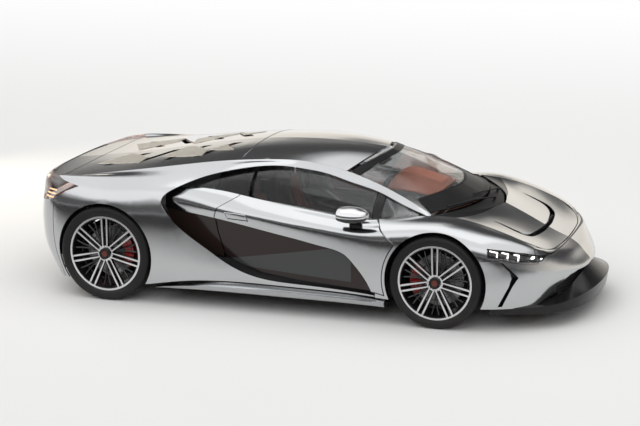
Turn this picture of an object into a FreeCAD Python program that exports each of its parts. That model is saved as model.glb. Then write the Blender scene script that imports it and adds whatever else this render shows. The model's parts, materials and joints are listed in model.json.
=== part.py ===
import FreeCAD, Part
import Sketcher
import os
from math import asin, cos, degrees, radians, sin
from FreeCAD import Vector

# A mid-engined two-seat supercar, in millimetres: +X forward, +Y to the car's left, +Z up.
# The origin is on the ground under the middle of the overall length.

doc = FreeCAD.newDocument("supercar")
sheet = doc.addObject("Spreadsheet::Sheet", "Sizes")

SIZES = [
    ("wheelbase", 2650, "front axle to rear axle"),
    ("front_overhang", 1065, "front axle to nose tip"),
    ("rear_overhang", 715, "rear axle to tail"),
    ("half_width", 985, "centre plane to the widest side"),
    ("overall_height", 1172, "ground to roof"),
    ("side_wall", 14, "thickness of the wings and side frames"),
    ("roof_wall", 14, "thickness of the roof and lids"),
    ("door_skin", 16, "outer skin of a door"),
    ("door_depth", 84, "whole thickness of a door"),
    ("door_flange", 26, "step from the skin edge to the door box"),
    ("glass_wall", 5, "window glass"),
    ("shut_gap", 7, "gap round doors and lids"),
    ("seam_gap", 3, "gap between fixed panels"),
    ("front_tyre_radius", 350, ""),
    ("rear_tyre_radius", 373, ""),
    ("front_tyre_width", 245, ""),
    ("rear_tyre_width", 305, ""),
    ("front_rim_radius", 270, "seat of the front tyre bead"),
    ("rear_rim_radius", 283, "seat of the rear tyre bead"),
    ("rim_lip", 17, "rim flange above the bead seat"),
    ("rim_wall", 9, "thickness of the rim barrel"),
    ("wheel_inset", 17, "widest side of the body to the wheel face"),
    ("arch_gap", 34, "tyre tread to wheel arch"),
    ("spoke_count", 7, "double spokes on a wheel"),
    ("spoke_width", 17, "one bar of a double spoke"),
    ("spoke_spread", 42, "between the bars of a pair at the rim"),
    ("spoke_depth", 30, "spoke front to back"),
    ("hub_radius", 62, "wheel centre"),
    ("bearing_radius", 34, "wheel bearing boss"),
    ("front_disc_radius", 195, ""),
    ("rear_disc_radius", 190, ""),
    ("disc_wall", 32, "thickness of a brake disc"),
    ("caliper_gap", 4, "brake pad clearance to the disc"),
    ("liner_wall", 4, "wheel arch liner"),
    ("floor_height", 116, "ground to the underside of the tub"),
    ("floor_wall", 30, "thickness of the tub floor"),
    ("sill_height", 270, "tub sill above its underside"),
    ("sill_width", 170, "tub sill across"),
    ("bulkhead_wall", 40, "cabin bulkheads"),
    ("undertray_wall", 8, "flat floor skin"),
    ("arm_radius", 13, "suspension arm tube"),
    ("shaft_radius", 20, "drive shaft"),
    ("damper_radius", 30, "coil-over body"),
    ("exhaust_radius", 48, "exhaust tip, outside"),
    ("exhaust_wall", 3, ""),
    ("steering_wheel_radius", 172, ""),
    ("steering_rim_radius", 15, ""),
    ("fit_gap", 0.3, "running clearance between seated pieces"),
    ("arch_band", 27, "wing lip behind the front wheel"),
    ("overrun", 60, "how far a cutting tool passes a face"),
]
for row, (alias, value, note) in enumerate(SIZES, start=1):
    sheet.set("A%d" % row, alias.replace("_", " "))
    sheet.set("B%d" % row, str(value))
    sheet.set("C%d" % row, note)
    sheet.setAlias("B%d" % row, alias)
doc.recompute()


def size(alias):
    """One driving dimension, read from the sheet."""
    return float(getattr(sheet, alias))


half_width = size("half_width")
height = size("overall_height")
wheelbase = size("wheelbase")
front_overhang = size("front_overhang")
rear_overhang = size("rear_overhang")
front_axle = (wheelbase + front_overhang + rear_overhang) / 2 - front_overhang
rear_axle = front_axle - wheelbase
side_wall = size("side_wall")
roof_wall = size("roof_wall")
shut_gap = size("shut_gap")
seam_gap = size("seam_gap")
fit_gap = size("fit_gap")
overrun = size("overrun")
REAR_ARCH_GAP_SHARE = 0.8
front_arch = size("front_tyre_radius") + size("arch_gap")
rear_arch = size("rear_tyre_radius") + size("arch_gap") * REAR_ARCH_GAP_SHARE
RIGHT, LEFT = -1, 1
DOWN = Vector(0, 0, -1)
MITRE_SHARE = 0.4


def along(station):
    """Length position of a station: -1 nose tip, 0 front axle, 1 rear axle, 2 tail."""
    if station < 0:
        return front_axle - station * front_overhang
    if station > 1:
        return rear_axle - (station - 1) * rear_overhang
    return front_axle - station * wheelbase


def place(share, side=LEFT):
    """A point from its station, width share and height share, on one side of the car."""
    return Vector(along(share[0]), side * share[1] * half_width, share[2] * height)


# Smooth surfaces through a few character lines

def slopes(knots, values):
    """Second derivatives of the natural cubic spline through values at knots."""
    count = len(knots)
    upper = [0.0] * count
    second = [0.0] * count
    for i in range(1, count - 1):
        left = knots[i] - knots[i - 1]
        right = knots[i + 1] - knots[i]
        pivot = 2 * (left + right) - left * upper[i - 1]
        upper[i] = right / pivot
        jump = (values[i + 1] - values[i]) / right - (values[i] - values[i - 1]) / left
        second[i] = (6 * jump - left * second[i - 1]) / pivot
    for i in range(count - 2, 0, -1):
        second[i] -= upper[i] * second[i + 1]
    return second


def spline_at(knots, values, second, t):
    """Value at t of the cubic spline described by slopes."""
    i = 0
    while i < len(knots) - 2 and t > knots[i + 1]:
        i += 1
    step = knots[i + 1] - knots[i]
    a = (knots[i + 1] - t) / step
    b = (t - knots[i]) / step
    bend = ((a ** 3 - a) * second[i] + (b ** 3 - b) * second[i + 1]) * step * step / 6
    return a * values[i] + b * values[i + 1] + bend


def chord_knots(lines):
    """Knots from 0 to 1 that follow the mean distance between the points of several lines."""
    knots = [0.0]
    for i in range(1, len(lines[0])):
        knots.append(knots[-1] + sum((line[i] - line[i - 1]).Length for line in lines))
    return [k / knots[-1] for k in knots]


class Skin:
    """A smooth surface through character lines: u runs along the lines, v across them."""

    def __init__(self, lines):
        self.u = chord_knots(lines)
        self.v = chord_knots([list(column) for column in zip(*lines)])
        self.along = []
        for line in lines:
            axes = [[p.x for p in line], [p.y for p in line], [p.z for p in line]]
            self.along.append([(axis, slopes(self.u, axis)) for axis in axes])

    def at(self, u, v):
        """The point at (u, v), both from 0 to 1."""
        point = []
        for axis in range(3):
            across = [spline_at(self.u, *line[axis], u) for line in self.along]
            point.append(spline_at(self.v, across, slopes(self.v, across), v))
        return Vector(*point)

    def grid(self, window, counts):
        """Points over a window (u0, u1, v0, v1); its four entries may be functions."""
        u0, u1, v0, v1 = window
        rows = []
        for j in range(counts[1]):
            b = j / (counts[1] - 1)
            row = []
            for i in range(counts[0]):
                a = i / (counts[0] - 1)
                low = u0(b) if callable(u0) else u0
                high = u1(b) if callable(u1) else u1
                u = low + (high - low) * a
                bottom = v0(u) if callable(v0) else v0
                top = v1(u) if callable(v1) else v1
                row.append(self.at(u, bottom + (top - bottom) * b))
            rows.append(row)
        return rows

    def u_at(self, x, v, high=1.0):
        """The u up to high where the surface reaches length position x on the line v."""
        low = 0.0
        falling = self.at(low, v).x > self.at(high, v).x
        for _ in range(40):
            middle = (low + high) / 2
            if (self.at(middle, v).x > x) == falling:
                low = middle
            else:
                high = middle
        return low

    def v_at(self, u, z):
        """The v where the surface comes down to height z at u."""
        low, high = 0.0, 1.0
        for _ in range(40):
            middle = (low + high) / 2
            if self.at(u, middle).z > z:
                low = middle
            else:
                high = middle
        return low


def unit(vector):
    """The same direction with length 1."""
    return vector * (1 / vector.Length)


def normals(grid, inward):
    """Unit normals of a grid of points, on the side that the vector inward points to."""
    rows, columns = len(grid), len(grid[0])
    result = []
    for j in range(rows):
        line = []
        for i in range(columns):
            du = grid[j][min(i + 1, columns - 1)] - grid[j][max(i - 1, 0)]
            dv = grid[min(j + 1, rows - 1)][i] - grid[max(j - 1, 0)][i]
            line.append(unit(du.cross(dv)))
        result.append(line)
    middle = result[rows // 2][columns // 2]
    sign = 1 if middle.dot(inward) > 0 else -1
    return [[n * sign for n in line] for line in result]


def shifted(grid, directions, distance):
    """A grid moved along its directions."""
    return [[p + d * distance for p, d in zip(line, way)] for line, way in zip(grid, directions)]


def sheet_face(grid):
    """The spline surface through a grid of points."""
    surface = Part.BSplineSurface()
    surface.interpolate(grid)
    return surface


def closed(faces):
    """A solid from faces that share their edges."""
    shell = Part.makeShell(faces)
    shell.sewShape()
    solid = Part.Solid(shell)
    if solid.Volume < 0:
        solid.reverse()
    return solid


def slab(grid, inward, start, depth, mitres=()):
    """A panel whose faces lie at two depths under a grid; mitres turns the depth down at edges."""
    ways = normals(grid, inward)
    rows = len(grid)
    for edge in mitres:
        for j in range(rows):
            step = j if edge == "first" else rows - 1 - j
            weight = max(0.0, 1 - step / (rows * MITRE_SHARE))
            ways[j] = [unit(d * (1 - weight) + DOWN * weight) for d in ways[j]]
    outer = sheet_face(shifted(grid, ways, start))
    inner = sheet_face(shifted(grid, ways, start + depth))
    faces = [outer.toShape(), inner.toShape()]
    bounds = outer.bounds()
    other = inner.bounds()
    for k in range(2):
        faces.append(Part.makeRuledSurface(outer.uIso(bounds[k]).toShape(), inner.uIso(other[k]).toShape()))
        near, far = outer.vIso(bounds[k + 2]), inner.vIso(other[k + 2])
        faces.append(Part.makeRuledSurface(near.toShape(), far.toShape()))
    return closed(faces)


def spline_edge(points):
    """A smooth edge through points."""
    curve = Part.BSplineCurve()
    curve.interpolate(points)
    return curve.toShape()


def beam(lines):
    """A long solid whose edges are smooth lines, listed in order round its section."""
    edges = [spline_edge(line) for line in lines]
    faces = [Part.makeRuledSurface(a, b) for a, b in zip(edges, edges[1:] + edges[:1])]
    for end in (0, -1):
        ring = [line[end] for line in lines]
        centre = ring[0]
        for i in range(1, len(ring) - 1):
            faces.append(Part.Face(Part.makePolygon([centre, ring[i], ring[i + 1], centre])))
    return closed(faces)


def prism(points, way):
    """A polygon of points drawn out along a vector."""
    face = Part.Face(Part.makePolygon(points + points[:1]))
    return face.extrude(way)


def side_prism(outline, near, far):
    """A prism along Y from an outline of stations and height shares."""
    points = [Vector(along(s), near, z * height) for s, z in outline]
    return prism(points, Vector(0, far - near, 0))


def plan_prism(outline, low, high):
    """A prism along Z from an outline of stations and width shares."""
    points = [Vector(along(s), w * half_width, low) for s, w in outline]
    return prism(points, Vector(0, 0, high - low))


def front_prism(outline, rear, front):
    """A prism along X from an outline of width shares and height shares."""
    points = [Vector(rear, w * half_width, z * height) for w, z in outline]
    return prism(points, Vector(front - rear, 0, 0))


def both(outline):
    """An outline on the left half, closed by its mirror image on the right."""
    return outline + [(s, -w) for s, w in reversed(outline)]


def both_widths(outline):
    """An outline of width and height shares with its mirror image."""
    return outline + [(-w, z) for w, z in reversed(outline)]


def grown(outline, gap):
    """An outline of (x, z) points moved outward by a gap."""
    area = sum(a[0] * b[1] - b[0] * a[1] for a, b in zip(outline, outline[1:] + outline[:1]))
    turn = 1 if area > 0 else -1
    result = []
    for i, point in enumerate(outline):
        before = outline[i - 1]
        after = outline[(i + 1) % len(outline)]
        first = unit(Vector(point[1] - before[1], before[0] - point[0], 0))
        second = unit(Vector(after[1] - point[1], point[0] - after[0], 0))
        corner = first + second
        corner = corner * (2 * turn * gap / corner.dot(corner))
        result.append((point[0] + corner.x, point[1] + corner.y))
    return result


def real(outline):
    """Stations and height shares as lengths."""
    return [(along(s), z * height) for s, z in outline]


def raised(outline, near, far):
    """A prism along Y from an outline of lengths."""
    return prism([Vector(x, near, z) for x, z in outline], Vector(0, far - near, 0))


def mirrored(shape):
    """The shape on the other side of the car."""
    return shape.mirror(Vector(0, 0, 0), Vector(0, 1, 0))


def across(radius, x, z, near, far):
    """A cylinder along Y between two widths."""
    return Part.makeCylinder(radius, far - near, Vector(x, near, z), Vector(0, 1, 0))


def rod(start, end, radius):
    """A round bar between two points."""
    return Part.makeCylinder(radius, (end - start).Length, start, end - start)


def box(x, y, z):
    """A box between pairs of limits."""
    return Part.makeBox(x[1] - x[0], y[1] - y[0], z[1] - z[0], Vector(x[0], y[0], z[0]))


def fused(shapes):
    """Several solids joined into one."""
    result = shapes[0]
    for shape in shapes[1:]:
        result = result.fuse(shape)
    return result.removeSplitter()


NODES = []


def node(name, shape):
    """Add one sub-part to the document."""
    feature = doc.addObject("Part::Feature", name)
    feature.Label = name
    feature.Shape = shape
    feature.Placement = FreeCAD.Placement()
    NODES.append(feature)
    return feature


SIDES = (("right", RIGHT), ("left", LEFT))


def lines_of(table, side=LEFT):
    """Character lines of a table of shares, as points on one side."""
    return [[place(share, side) for share in line] for line in table]

# Character lines of the right half, each from (station, width share, height share) points

# Side frame: ridge, rail edge, shoulder, flank, widest line, lower flank, foot, all round the tail
SIDE_SHARES = [
    [(0.042, 0.665, 0.674), (0.132, 0.626, 0.772), (0.232, 0.582, 0.855), (0.340, 0.558, 0.920),
     (0.445, 0.563, 0.951),
     (0.547, 0.579, 0.947), (0.642, 0.601, 0.933), (0.728, 0.621, 0.911), (0.804, 0.645, 0.887),
     (0.887, 0.670, 0.860), (1.000, 0.711, 0.826), (1.420, 0.746, 0.795), (1.685, 0.736, 0.780),
     (1.811, 0.660, 0.770), (1.888, 0.508, 0.766), (1.931, 0.264, 0.765), (1.940, 0.000, 0.765)],
    [(0.042, 0.682, 0.670), (0.132, 0.665, 0.735), (0.232, 0.631, 0.815), (0.340, 0.609, 0.876),
     (0.445, 0.612, 0.911),
     (0.547, 0.652, 0.918), (0.642, 0.715, 0.887), (0.728, 0.802, 0.834), (0.804, 0.858, 0.811),
     (0.887, 0.863, 0.808), (1.000, 0.861, 0.806), (1.420, 0.853, 0.800), (1.727, 0.802, 0.787),
     (1.853, 0.690, 0.771), (1.916, 0.518, 0.762), (1.954, 0.274, 0.758), (1.961, 0.000, 0.757)],
    [(0.042, 0.711, 0.653), (0.132, 0.711, 0.683), (0.232, 0.711, 0.742), (0.340, 0.711, 0.794),
     (0.445, 0.731, 0.811),
     (0.547, 0.777, 0.802), (0.642, 0.838, 0.785), (0.728, 0.888, 0.768), (0.804, 0.942, 0.744),
     (0.887, 0.952, 0.735), (1.000, 0.959, 0.725), (1.420, 0.936, 0.717), (1.727, 0.863, 0.704),
     (1.860, 0.731, 0.695), (1.930, 0.538, 0.691), (1.972, 0.284, 0.691), (1.979, 0.000, 0.691)],
    [(0.042, 0.812, 0.563), (0.132, 0.812, 0.580), (0.232, 0.822, 0.614), (0.340, 0.843, 0.640),
     (0.445, 0.873, 0.648),
     (0.547, 0.914, 0.648), (0.642, 0.944, 0.644), (0.728, 0.964, 0.640), (0.804, 0.981, 0.636),
     (0.887, 0.991, 0.627), (1.000, 0.997, 0.610), (1.420, 0.970, 0.597), (1.741, 0.888, 0.576),
     (1.881, 0.751, 0.572), (1.951, 0.548, 0.567), (1.993, 0.284, 0.563), (2.000, 0.000, 0.563)],
    [(0.042, 0.893, 0.427), (0.132, 0.914, 0.427), (0.232, 0.934, 0.427), (0.340, 0.949, 0.427),
     (0.445, 0.959, 0.427),
     (0.547, 0.970, 0.427), (0.642, 0.978, 0.435), (0.728, 0.985, 0.452), (0.804, 0.994, 0.469),
     (0.887, 1.000, 0.478), (1.000, 1.000, 0.474), (1.420, 0.977, 0.461), (1.741, 0.895, 0.435),
     (1.874, 0.756, 0.427), (1.944, 0.553, 0.418), (1.986, 0.289, 0.418), (1.993, 0.000, 0.418)],
    [(0.042, 0.944, 0.282), (0.132, 0.959, 0.282), (0.232, 0.970, 0.282), (0.340, 0.977, 0.282),
     (0.445, 0.981, 0.282),
     (0.547, 0.983, 0.282), (0.642, 0.985, 0.286), (0.728, 0.988, 0.294), (0.804, 0.994, 0.303),
     (0.887, 0.998, 0.307), (1.000, 0.998, 0.307), (1.420, 0.973, 0.307), (1.699, 0.895, 0.294),
     (1.825, 0.756, 0.286), (1.888, 0.553, 0.282), (1.923, 0.289, 0.282), (1.930, 0.000, 0.282)],
    [(0.042, 0.970, 0.171), (0.132, 0.975, 0.175), (0.232, 0.978, 0.189), (0.340, 0.980, 0.197),
     (0.445, 0.981, 0.201),
     (0.547, 0.981, 0.204), (0.642, 0.982, 0.200), (0.728, 0.984, 0.186), (0.804, 0.987, 0.162),
     (0.887, 0.987, 0.132), (1.000, 0.980, 0.128), (1.378, 0.949, 0.128), (1.587, 0.883, 0.124),
     (1.671, 0.751, 0.124), (1.699, 0.553, 0.128), (1.713, 0.289, 0.137), (1.713, 0.000, 0.137)],
]

# Front: lid edge, crown, light line, widest line, lower line, foot, from the door round the nose
FRONT_SHARES = [
    [(0.185, 0.812, 0.650), (0.094, 0.756, 0.671), (0.000, 0.691, 0.674), (-0.188, 0.690, 0.652),
     (-0.329, 0.682, 0.618),
     (-0.469, 0.670, 0.574), (-0.592, 0.640, 0.524), (-0.676, 0.553, 0.478), (-0.718, 0.426, 0.458),
     (-0.732, 0.274, 0.450), (-0.737, 0.132, 0.445), (-0.738, 0.000, 0.444)],
    [(0.185, 0.878, 0.627), (0.094, 0.878, 0.653), (0.000, 0.873, 0.663), (-0.188, 0.848, 0.636),
     (-0.329, 0.822, 0.602),
     (-0.469, 0.787, 0.556), (-0.592, 0.731, 0.512), (-0.681, 0.635, 0.472), (-0.746, 0.492, 0.435),
     (-0.789, 0.325, 0.414), (-0.808, 0.162, 0.403), (-0.812, 0.000, 0.399)],
    [(0.185, 0.949, 0.584), (0.094, 0.966, 0.602), (0.000, 0.980, 0.606), (-0.188, 0.970, 0.573),
     (-0.329, 0.941, 0.542),
     (-0.469, 0.875, 0.502), (-0.592, 0.792, 0.465), (-0.690, 0.680, 0.427), (-0.765, 0.538, 0.394),
     (-0.826, 0.360, 0.367), (-0.854, 0.183, 0.352), (-0.862, 0.000, 0.346)],
    [(0.185, 0.973, 0.512), (0.094, 0.983, 0.495), (0.000, 0.990, 0.478), (-0.188, 0.987, 0.452),
     (-0.329, 0.964, 0.427),
     (-0.469, 0.904, 0.401), (-0.592, 0.822, 0.375), (-0.695, 0.711, 0.350), (-0.779, 0.563, 0.328),
     (-0.850, 0.376, 0.314), (-0.892, 0.188, 0.305), (-0.903, 0.000, 0.300)],
    [(0.185, 0.972, 0.341), (0.094, 0.981, 0.324), (0.000, 0.990, 0.307), (-0.188, 0.987, 0.290),
     (-0.329, 0.964, 0.273),
     (-0.469, 0.909, 0.260), (-0.587, 0.832, 0.252), (-0.685, 0.726, 0.243), (-0.756, 0.584, 0.235),
     (-0.817, 0.396, 0.226), (-0.850, 0.203, 0.222), (-0.859, 0.000, 0.220)],
    [(0.185, 0.970, 0.175), (0.094, 0.977, 0.166), (0.000, 0.985, 0.158), (-0.188, 0.980, 0.154),
     (-0.329, 0.954, 0.152),
     (-0.469, 0.898, 0.151), (-0.582, 0.827, 0.151), (-0.662, 0.746, 0.151), (-0.723, 0.609, 0.147),
     (-0.775, 0.416, 0.142), (-0.803, 0.213, 0.139), (-0.809, 0.000, 0.138)],
]

# Door side: belt, shoulder, crease, under the crease, waist, lower door, foot
DOOR_SHARES = [
    [(0.819, 0.787, 0.789), (0.736, 0.812, 0.781), (0.642, 0.812, 0.765), (0.540, 0.812, 0.728),
     (0.434, 0.812, 0.700),
     (0.321, 0.812, 0.668), (0.226, 0.812, 0.648), (0.162, 0.802, 0.653), (0.094, 0.756, 0.671)],
    [(0.819, 0.838, 0.749), (0.736, 0.865, 0.741), (0.642, 0.881, 0.723), (0.540, 0.891, 0.693),
     (0.434, 0.895, 0.664),
     (0.321, 0.897, 0.633), (0.226, 0.899, 0.616), (0.162, 0.895, 0.627), (0.094, 0.878, 0.652)],
    [(0.819, 0.863, 0.701), (0.736, 0.893, 0.688), (0.642, 0.926, 0.666), (0.540, 0.944, 0.644),
     (0.434, 0.952, 0.621),
     (0.321, 0.956, 0.596), (0.226, 0.959, 0.580), (0.162, 0.960, 0.586), (0.094, 0.966, 0.601)],
    [(0.819, 0.863, 0.661), (0.736, 0.895, 0.653), (0.642, 0.927, 0.636), (0.540, 0.947, 0.613),
     (0.434, 0.959, 0.589),
     (0.321, 0.964, 0.559), (0.226, 0.969, 0.539), (0.162, 0.973, 0.533), (0.094, 0.980, 0.529)],
    [(0.819, 0.851, 0.589), (0.736, 0.881, 0.584), (0.642, 0.912, 0.572), (0.540, 0.936, 0.550),
     (0.434, 0.952, 0.525),
     (0.321, 0.961, 0.486), (0.226, 0.969, 0.456), (0.162, 0.975, 0.444), (0.094, 0.982, 0.435)],
    [(0.819, 0.838, 0.427), (0.736, 0.863, 0.418), (0.642, 0.893, 0.405), (0.540, 0.922, 0.388),
     (0.434, 0.942, 0.367),
     (0.321, 0.956, 0.341), (0.226, 0.966, 0.320), (0.162, 0.973, 0.307), (0.094, 0.981, 0.299)],
    [(0.819, 0.827, 0.188), (0.736, 0.853, 0.183), (0.642, 0.885, 0.179), (0.540, 0.919, 0.179),
     (0.434, 0.944, 0.179),
     (0.321, 0.959, 0.177), (0.226, 0.968, 0.175), (0.162, 0.972, 0.171), (0.094, 0.977, 0.171)],
]

# Roof and engine deck: centre crease, middle, edge
TOP_SHARES = [
    [(0.245, 0.000, 0.972), (0.340, 0.000, 0.992), (0.445, 0.000, 1.000), (0.547, 0.000, 0.994),
     (0.642, 0.000, 0.978),
     (0.728, 0.000, 0.953), (0.804, 0.000, 0.926), (0.887, 0.000, 0.891), (1.000, 0.000, 0.846),
     (1.420, 0.000, 0.806),
     (1.699, 0.000, 0.782), (1.940, 0.000, 0.765)],
    [(0.266, 0.284, 0.957), (0.343, 0.294, 0.979), (0.445, 0.305, 0.987), (0.547, 0.315, 0.981),
     (0.642, 0.325, 0.966),
     (0.728, 0.335, 0.941), (0.804, 0.345, 0.915), (0.887, 0.355, 0.881), (1.000, 0.376, 0.839),
     (1.420, 0.386, 0.802),
     (1.699, 0.376, 0.780), (1.916, 0.345, 0.765)],
    [(0.304, 0.560, 0.902), (0.358, 0.558, 0.928), (0.445, 0.563, 0.951), (0.547, 0.579, 0.947),
     (0.642, 0.601, 0.933),
     (0.728, 0.621, 0.911), (0.804, 0.645, 0.887), (0.887, 0.670, 0.860), (1.000, 0.711, 0.826),
     (1.420, 0.746, 0.795),
     (1.685, 0.736, 0.780), (1.811, 0.660, 0.770)],
]

# Windscreen: centre line, two lines between, pillar line, each from the cowl to the roof
SCREEN_SHARES = [
    [(-0.125, 0.000, 0.677), (0.034, 0.000, 0.772), (0.136, 0.000, 0.879), (0.242, 0.000, 0.965)],
    [(-0.094, 0.244, 0.680), (0.047, 0.234, 0.770), (0.149, 0.223, 0.872), (0.257, 0.244, 0.954)],
    [(-0.014, 0.467, 0.678), (0.077, 0.437, 0.762), (0.177, 0.416, 0.856), (0.277, 0.416, 0.930)],
    [(0.045, 0.645, 0.672), (0.132, 0.611, 0.766), (0.223, 0.571, 0.840), (0.300, 0.546, 0.892)],
]

# Front lid: centre crease and two lines between it and the lid edge
LID_SHARES = [
    [(-0.272, 0.000, 0.646), (-0.404, 0.000, 0.590), (-0.516, 0.000, 0.538), (-0.629, 0.000, 0.486),
     (-0.738, 0.000, 0.444)],
    [(-0.202, 0.274, 0.655), (-0.357, 0.284, 0.596), (-0.488, 0.284, 0.540), (-0.610, 0.279, 0.489),
     (-0.732, 0.274, 0.450)],
    [(-0.066, 0.508, 0.666), (-0.263, 0.497, 0.627), (-0.423, 0.482, 0.572), (-0.563, 0.457, 0.515),
     (-0.709, 0.437, 0.459)],
]
LID_EDGE_STATIONS = [0.034, -0.141, -0.329, -0.507, -0.676]

# Side glass: along the belt and along the rail
GLASS_SHARES = [
    [(0.057, 0.701, 0.672), (0.133, 0.784, 0.655), (0.232, 0.807, 0.647), (0.340, 0.807, 0.672),
     (0.445, 0.807, 0.702),
     (0.547, 0.807, 0.730), (0.642, 0.807, 0.765), (0.728, 0.802, 0.778), (0.785, 0.792, 0.783)],
    [(0.057, 0.675, 0.676), (0.133, 0.711, 0.698), (0.232, 0.723, 0.739), (0.340, 0.716, 0.783),
     (0.445, 0.719, 0.815),
     (0.547, 0.729, 0.832), (0.642, 0.746, 0.828), (0.728, 0.766, 0.809), (0.785, 0.778, 0.790)],
    [(0.057, 0.658, 0.680), (0.133, 0.646, 0.732), (0.232, 0.611, 0.811), (0.340, 0.589, 0.869),
     (0.445, 0.592, 0.901),
     (0.547, 0.621, 0.906), (0.642, 0.670, 0.875), (0.728, 0.726, 0.829), (0.785, 0.764, 0.794)],
]

# Opening of the side frame, seen from the side: rail edge, rear tip, blade edge down to the sill
LOOP_SHARES = [
    (0.034, 0.655), (0.058, 0.674), (0.133, 0.735), (0.194, 0.790), (0.288, 0.846), (0.348, 0.881),
    (0.439, 0.911),
    (0.497, 0.921), (0.549, 0.917), (0.611, 0.898), (0.668, 0.872), (0.721, 0.838), (0.760, 0.804),
    (0.794, 0.766), (0.813, 0.730), (0.818, 0.695), (0.811, 0.655), (0.794, 0.608), (0.770, 0.556),
    (0.727, 0.480), (0.666, 0.390), (0.606, 0.309), (0.540, 0.253), (0.394, 0.220), (0.245, 0.203),
    (0.174, 0.189)]
LOOP_CLOSING_SHARES = [(0.174, 0.085), (-0.141, 0.085), (-0.141, 0.655)]

# Door shut lines, seen from the side
DOOR_FRONT_SHARES = [(0.187, 0.717), (0.182, 0.653), (0.157, 0.599), (0.119, 0.532)]
DOOR_FOOT_SHARES = [(0.174, 0.209), (0.245, 0.218), (0.394, 0.235), (0.532, 0.266), (0.606, 0.324),
                    (0.636, 0.363)]
DOOR_REAR_SHARES = [(0.655, 0.512), (0.660, 0.614), (0.650, 0.674), (0.595, 0.744), (0.585, 0.794)]

# Upper edge of the dark lower door, seen from the side
WAIST_SHARES = [
    (0.830, 0.644), (0.769, 0.629), (0.709, 0.616), (0.643, 0.599), (0.549, 0.567), (0.457, 0.532),
    (0.396, 0.509),
    (0.336, 0.483), (0.291, 0.464), (0.262, 0.437), (0.240, 0.391), (0.217, 0.331), (0.194, 0.256),
    (0.179, 0.183)]
WAIST_CLOSING_SHARES = [(0.179, 0.068), (0.830, 0.068)]
HALF = 0.5


def wrapped(table):
    """Character lines that run round the car from the right side to the left."""
    lines = []
    for line in table:
        right = [place(share, RIGHT) for share in line]
        left = [place(share, LEFT) for share in reversed(line[:-1])]
        lines.append(right + left)
    return lines


side_skin = Skin(wrapped(SIDE_SHARES))
front_skin = Skin(wrapped(FRONT_SHARES))
door_skin = Skin(lines_of(DOOR_SHARES, RIGHT))
top_skin = Skin(lines_of(TOP_SHARES, RIGHT))
screen_skin = Skin(lines_of(SCREEN_SHARES, RIGHT))
belt_seat = Vector(0, 2 * fit_gap, 2 * fit_gap)
belt = [door_skin.at(door_skin.u_at(along(s), 0), 0) + belt_seat for s, w, z in GLASS_SHARES[0][1:]]
glass_lines = lines_of(GLASS_SHARES, RIGHT)
glass_skin = Skin([glass_lines[0][:1] + belt] + glass_lines[1:])
lid_edge = [front_skin.at(front_skin.u_at(along(s), 0, HALF), 0) for s in LID_EDGE_STATIONS]
lid_skin = Skin(lines_of(LID_SHARES, RIGHT) + [lid_edge])

INBOARD = Vector(0, 1, 0)
NEAR = -half_width - overrun
SEAM_STATION = 1.629
SEAM_LEVEL = 0.6
ARCH_INNER_SHARES = {"front": 0.5, "rear": 0.55}
tail_seam = side_skin.u_at(along(SEAM_STATION), SEAM_LEVEL, HALF)

front_arch_cut = across(front_arch, front_axle, size("front_tyre_radius"), NEAR,
                        -half_width * ARCH_INNER_SHARES["front"])
rear_arch_cut = across(rear_arch, rear_axle, size("rear_tyre_radius"), NEAR,
                       -half_width * ARCH_INNER_SHARES["rear"])


def arc_points(centre, radius, start, end, count):
    """Points (x, z) on an arc in the side view, angles in degrees from +X towards +Z."""
    points = []
    for i in range(count):
        angle = radians(start + (end - start) * i / (count - 1))
        points.append((centre[0] + radius * cos(angle), centre[1] + radius * sin(angle)))
    return points


# Angles of the door edge round the front wheel, past the level of the axle
DOOR_ARC_LEAN = 3
DOOR_ARC_END = 197
DOOR_ARC_COUNT = 9
door_arc_radius = front_arch + size("arch_band")
door_arc_rise = DOOR_FRONT_SHARES[-1][1] * height - size("front_tyre_radius")
door_arc_start = 180 + DOOR_ARC_LEAN - degrees(asin(door_arc_rise / door_arc_radius))
door_arc = arc_points((front_axle, size("front_tyre_radius")), door_arc_radius, door_arc_start,
                      DOOR_ARC_END, DOOR_ARC_COUNT)
door_outline = real(DOOR_FRONT_SHARES) + door_arc + real(DOOR_FOOT_SHARES) + real(DOOR_REAR_SHARES)

# Tail lamps and headlamps, seen from the side
TAIL_LAMP_SHARES = [(1.329, 0.753), (1.517, 0.776), (1.629, 0.800), (2.091, 0.800), (2.091, 0.636),
                    (1.811, 0.631), (1.699, 0.646), (1.587, 0.674), (1.476, 0.717)]
TAIL_LAMP_REACH_SHARE = 0.5
TAIL_LAMP_START_SHARE = 0.9
LAMP_LEVEL = 0.7
HEADLAMP_SHARES = [(-0.362, 0.536), (-0.469, 0.517), (-0.592, 0.489), (-0.704, 0.451), (-0.685, 0.425),
                   (-0.573, 0.445),
                   (-0.460, 0.474), (-0.371, 0.486)]

tail_lamp_outline = real(TAIL_LAMP_SHARES)
headlamp_outline = real(HEADLAMP_SHARES)
lamp_reach = -half_width * TAIL_LAMP_REACH_SHARE


def side_frame():
    """Right wing, roof rail and buttress in one, open round the door and the wheel."""
    panel = slab(side_skin.grid((0, tail_seam, 0, 1), (40, 18)), INBOARD, 0, side_wall, ["first"])
    loop = [Vector(along(s), NEAR, z * height) for s, z in LOOP_SHARES]
    closing = [Vector(along(s), NEAR, z * height) for s, z in LOOP_CLOSING_SHARES]
    wire = Part.Wire([spline_edge(loop)] + Part.makePolygon([loop[-1]] + closing + [loop[0]]).Edges)
    panel = panel.cut(Part.Face(wire).extrude(Vector(0, half_width, 0)))
    panel = panel.cut(rear_arch_cut)
    return panel.cut(raised(grown(tail_lamp_outline, seam_gap), NEAR, lamp_reach))


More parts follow.
